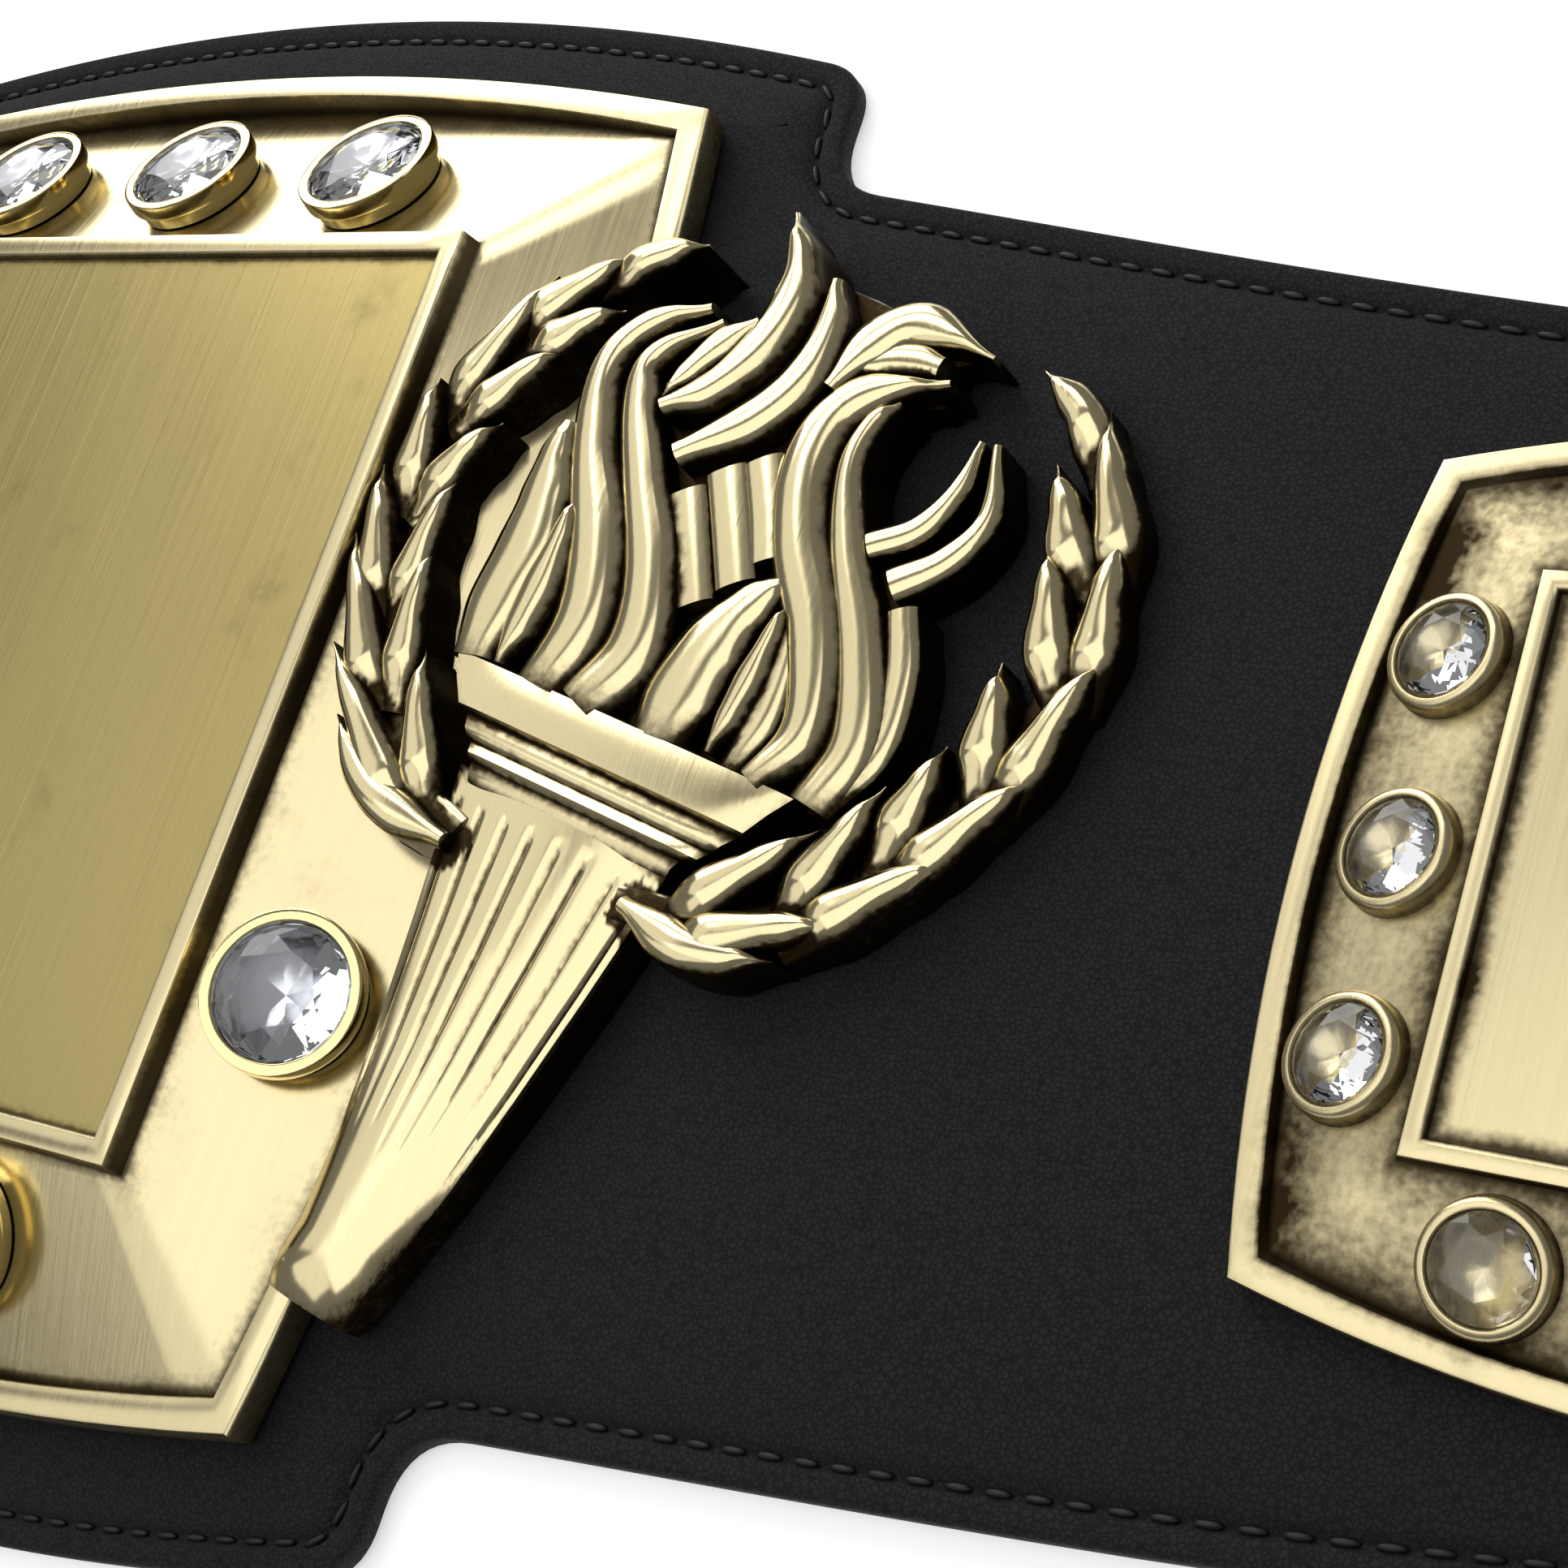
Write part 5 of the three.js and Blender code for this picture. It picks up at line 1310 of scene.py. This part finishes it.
class BELT_OT_main_stones(bpy.types.Operator):
    """Large cut stones and their polished bezels on the main plate"""
    bl_idname = "belt.main_stones"
    bl_label = "Main Stones"

    def execute(self, context):
        colours = context.scene.belt_colours
        metal = gold_material("Bezel Gold", colours.bright_gold, colours, 0.3, 0.0, 0.06, 0.1)
        foil, glass = foil_material(), glass_material(colours)
        # The bezel's foot is fully dark: patina and painted shade where it meets the plate
        bezel = turned(MAIN_BEZEL_PROFILE, BEZEL_SIDES, lambda row: 1.0 if row["height"] < 1 else 0.0)
        cup_faces = [1 if max(face) < 2 * BEZEL_SIDES or len(face) == 3 else 0 for face in bezel[1]]
        for row in MAIN_STONE_ROWS:
            seat = on_bevel(MAIN, *band_place(MAIN, row), SEAT_GAP)
            name = row["name"]
            add_piece(f"bezel_ring_{name}", placed(bezel, seat), [metal, foil],
                      (f"main_bezel_{name}",), crease=40, face_materials=cup_faces)
            add_piece(f"large_stone_{name}", placed(brilliant(MAIN_STONE), seat), [glass],
                      (f"main_stone_{name}",), crease=0)
        return {"FINISHED"}


class BELT_OT_torches(bpy.types.Operator):
    """Torch and laurel castings on both sides of the main plate"""
    bl_idname = "belt.torches"
    bl_label = "Torches"

    def execute(self, context):
        colours = context.scene.belt_colours
        material = gold_material("Cast Gold", colours.gold, colours, 1.0, 0.05, 0.1, 0.25)
        right = torch_parts()
        for side, parts in (("right", right), ("left", mirrored(right))):
            add_piece(f"torch_casting_{side}", parts, [material], (f"torch_{side}",), crease=42)
        return {"FINISHED"}


class BELT_OT_side_plates(bpy.types.Operator):
    """Side plates with their cast bezels, and the smaller stones in them"""
    bl_idname = "belt.side_plates"
    bl_label = "Side Plates"

    def execute(self, context):
        colours = context.scene.belt_colours
        metal = gold_material("Antique Gold", colours.gold, colours, 0.95, 0.5, 0.2, 0.7, cloud=45.0)
        foil, glass = foil_material(), glass_material(colours)
        # Darker at the foot, sides and inner wall: patina and painted shade
        marks = {"foot": 1.0, "cup side": 0.7, "ring side": 0.2, "inner wall": 0.9}
        cup = turned(SIDE_BEZEL_PROFILE, BEZEL_SIDES, lambda row: marks.get(row["name"], 0.0))
        shells = [plate_parts(SIDE, 3.0, age=0.85)]
        for place in side_stone_places():
            shells.append(placed(cup, on_bevel(SIDE, place["x"], place["y"], 0)))
        right = joined(shells)
        for side, parts in (("right", right), ("left", mirrored(right))):
            add_piece(f"side_plate_gold_{side}", parts, [metal], (f"side_plate_{side}",),
                      crease=40)
        for place in side_stone_places():
            seat = on_bevel(SIDE, place["x"], place["y"], SEAT_GAP)
            stone = placed(brilliant(SIDE_STONE), seat)
            for side, parts in (("right", stone), ("left", mirrored(stone))):
                name = f"{side}_{place['name']}"
                add_piece(f"small_stone_{name}", parts, [glass], (f"side_stone_{name}",),
                          crease=0)
        return {"FINISHED"}


class BELT_OT_snaps(bpy.types.Operator):
    """Press studs on the strap's ends"""
    bl_idname = "belt.snaps"
    bl_label = "Press Studs"

    def execute(self, context):
        colours = context.scene.belt_colours
        metal = gold_material("Stud Gold", colours.gold, colours, 0.6, 0.1, 0.14, 0.2)
        # Darker in the cap's dish and under its edge: patina and painted shade
        marks = {"cap dish": 0.8, "cap foot": 0.8}
        stud = turned(SNAP_PROFILE, SNAP["sides"], lambda row: marks.get(row["name"], 0.0))
        x = STRAP["half_length"] - SNAP["from_end"]
        y = STRAP["end_half_height"] * SNAP["row_share"]
        places = [(end * x, row * y) for end in (-1, 1) for row in (-1, 1)]
        for i, (px, py) in enumerate(places, 1):
            seat = Matrix.Translation((px, py, 0))
            add_piece(f"stud_{i}", placed(stud, seat), [metal], (f"snap_{i}",), crease=40)
        return {"FINISHED"}


class BELT_OT_stage(bpy.types.Operator):
    """Pale floor, soft studio lights and the camera"""
    bl_idname = "belt.stage"
    bl_label = "Stage"

    def execute(self, context):
        scene = context.scene
        half = FLOOR["half"]
        mesh = bpy.data.meshes.new("floor")
        corners = [(-half, -half), (half, -half), (half, half), (-half, half)]
        mesh.from_pydata([(x, y, FLOOR["height"]) for x, y in corners], [], [(0, 1, 2, 3)])
        mesh.materials.append(floor_material())
        floor = bpy.data.objects.new("floor", mesh)
        scene.collection.objects.link(floor)
        world = bpy.data.worlds.new("Studio")
        world.use_nodes = True
        world.node_tree.nodes["Background"].inputs["Color"].default_value = (1, 1, 1, 1)
        world.node_tree.nodes["Background"].inputs["Strength"].default_value = WORLD_GLOW
        scene.world = world
        scene.view_settings.view_transform = "Standard"
        for row in LIGHTS:
            data = bpy.data.lights.new(row["name"], "AREA")
            data.shape = "RECTANGLE"
            data.size, data.size_y = row["size"]
            data.energy = row["glow"] * math.pi * data.size * data.size_y * scene.belt_sizes.light
            lamp = bpy.data.objects.new(row["name"], data)
            aim = Vector(LIGHT_AIM) - Vector(row["place"])
            lamp.matrix_world = (Matrix.Translation(row["place"])
                                 @ aim.to_track_quat("-Z", "Y").to_matrix().to_4x4())
            scene.collection.objects.link(lamp)
        data = bpy.data.cameras.new("camera")
        data.lens, data.sensor_width = CAMERA["lens"], CAMERA["sensor"]
        data.clip_start = 0.01
        camera = bpy.data.objects.new("camera", data)
        right, up = Vector(CAMERA["right"]).normalized(), Vector(CAMERA["up"]).normalized()
        back = right.cross(up)
        turn = Matrix((right, up, back)).transposed().to_4x4()
        camera.matrix_world = Matrix.Translation(CAMERA["place"]) @ turn
        scene.collection.objects.link(camera)
        scene.camera = camera
        return {"FINISHED"}


class BELT_PT_panel(bpy.types.Panel):
    """Buttons that build the belt"""
    bl_idname = "BELT_PT_panel"
    bl_label = "Title Belt"
    bl_space_type = "VIEW_3D"
    bl_region_type = "UI"
    bl_category = "Title Belt"

    def draw(self, context):
        for group in (context.scene.belt_sizes, context.scene.belt_colours):
            for key in group.__annotations__:
                self.layout.prop(group, key)
        for operator in OPERATORS:
            self.layout.operator(operator.bl_idname)


OPERATORS = (
    BELT_OT_stage, BELT_OT_strap, BELT_OT_stitches, BELT_OT_main_plate, BELT_OT_main_stones, BELT_OT_torches,
    BELT_OT_side_plates, BELT_OT_snaps,
)
CLASSES = (BeltSizes, BeltColours) + OPERATORS + (BELT_PT_panel,)


def register():
    for cls in CLASSES:
        bpy.utils.register_class(cls)
    bpy.types.Scene.belt_sizes = bpy.props.PointerProperty(type=BeltSizes)
    bpy.types.Scene.belt_colours = bpy.props.PointerProperty(type=BeltColours)


def unregister():
    del bpy.types.Scene.belt_colours
    del bpy.types.Scene.belt_sizes
    for cls in reversed(CLASSES):
        bpy.utils.unregister_class(cls)


def main():
    register()
    belt = bpy.ops.belt
    for build in (belt.stage, belt.strap, belt.stitches, belt.main_plate, belt.main_stones, belt.torches,
                  belt.side_plates, belt.snaps):
        build()


if __name__ == "__main__":
    main()
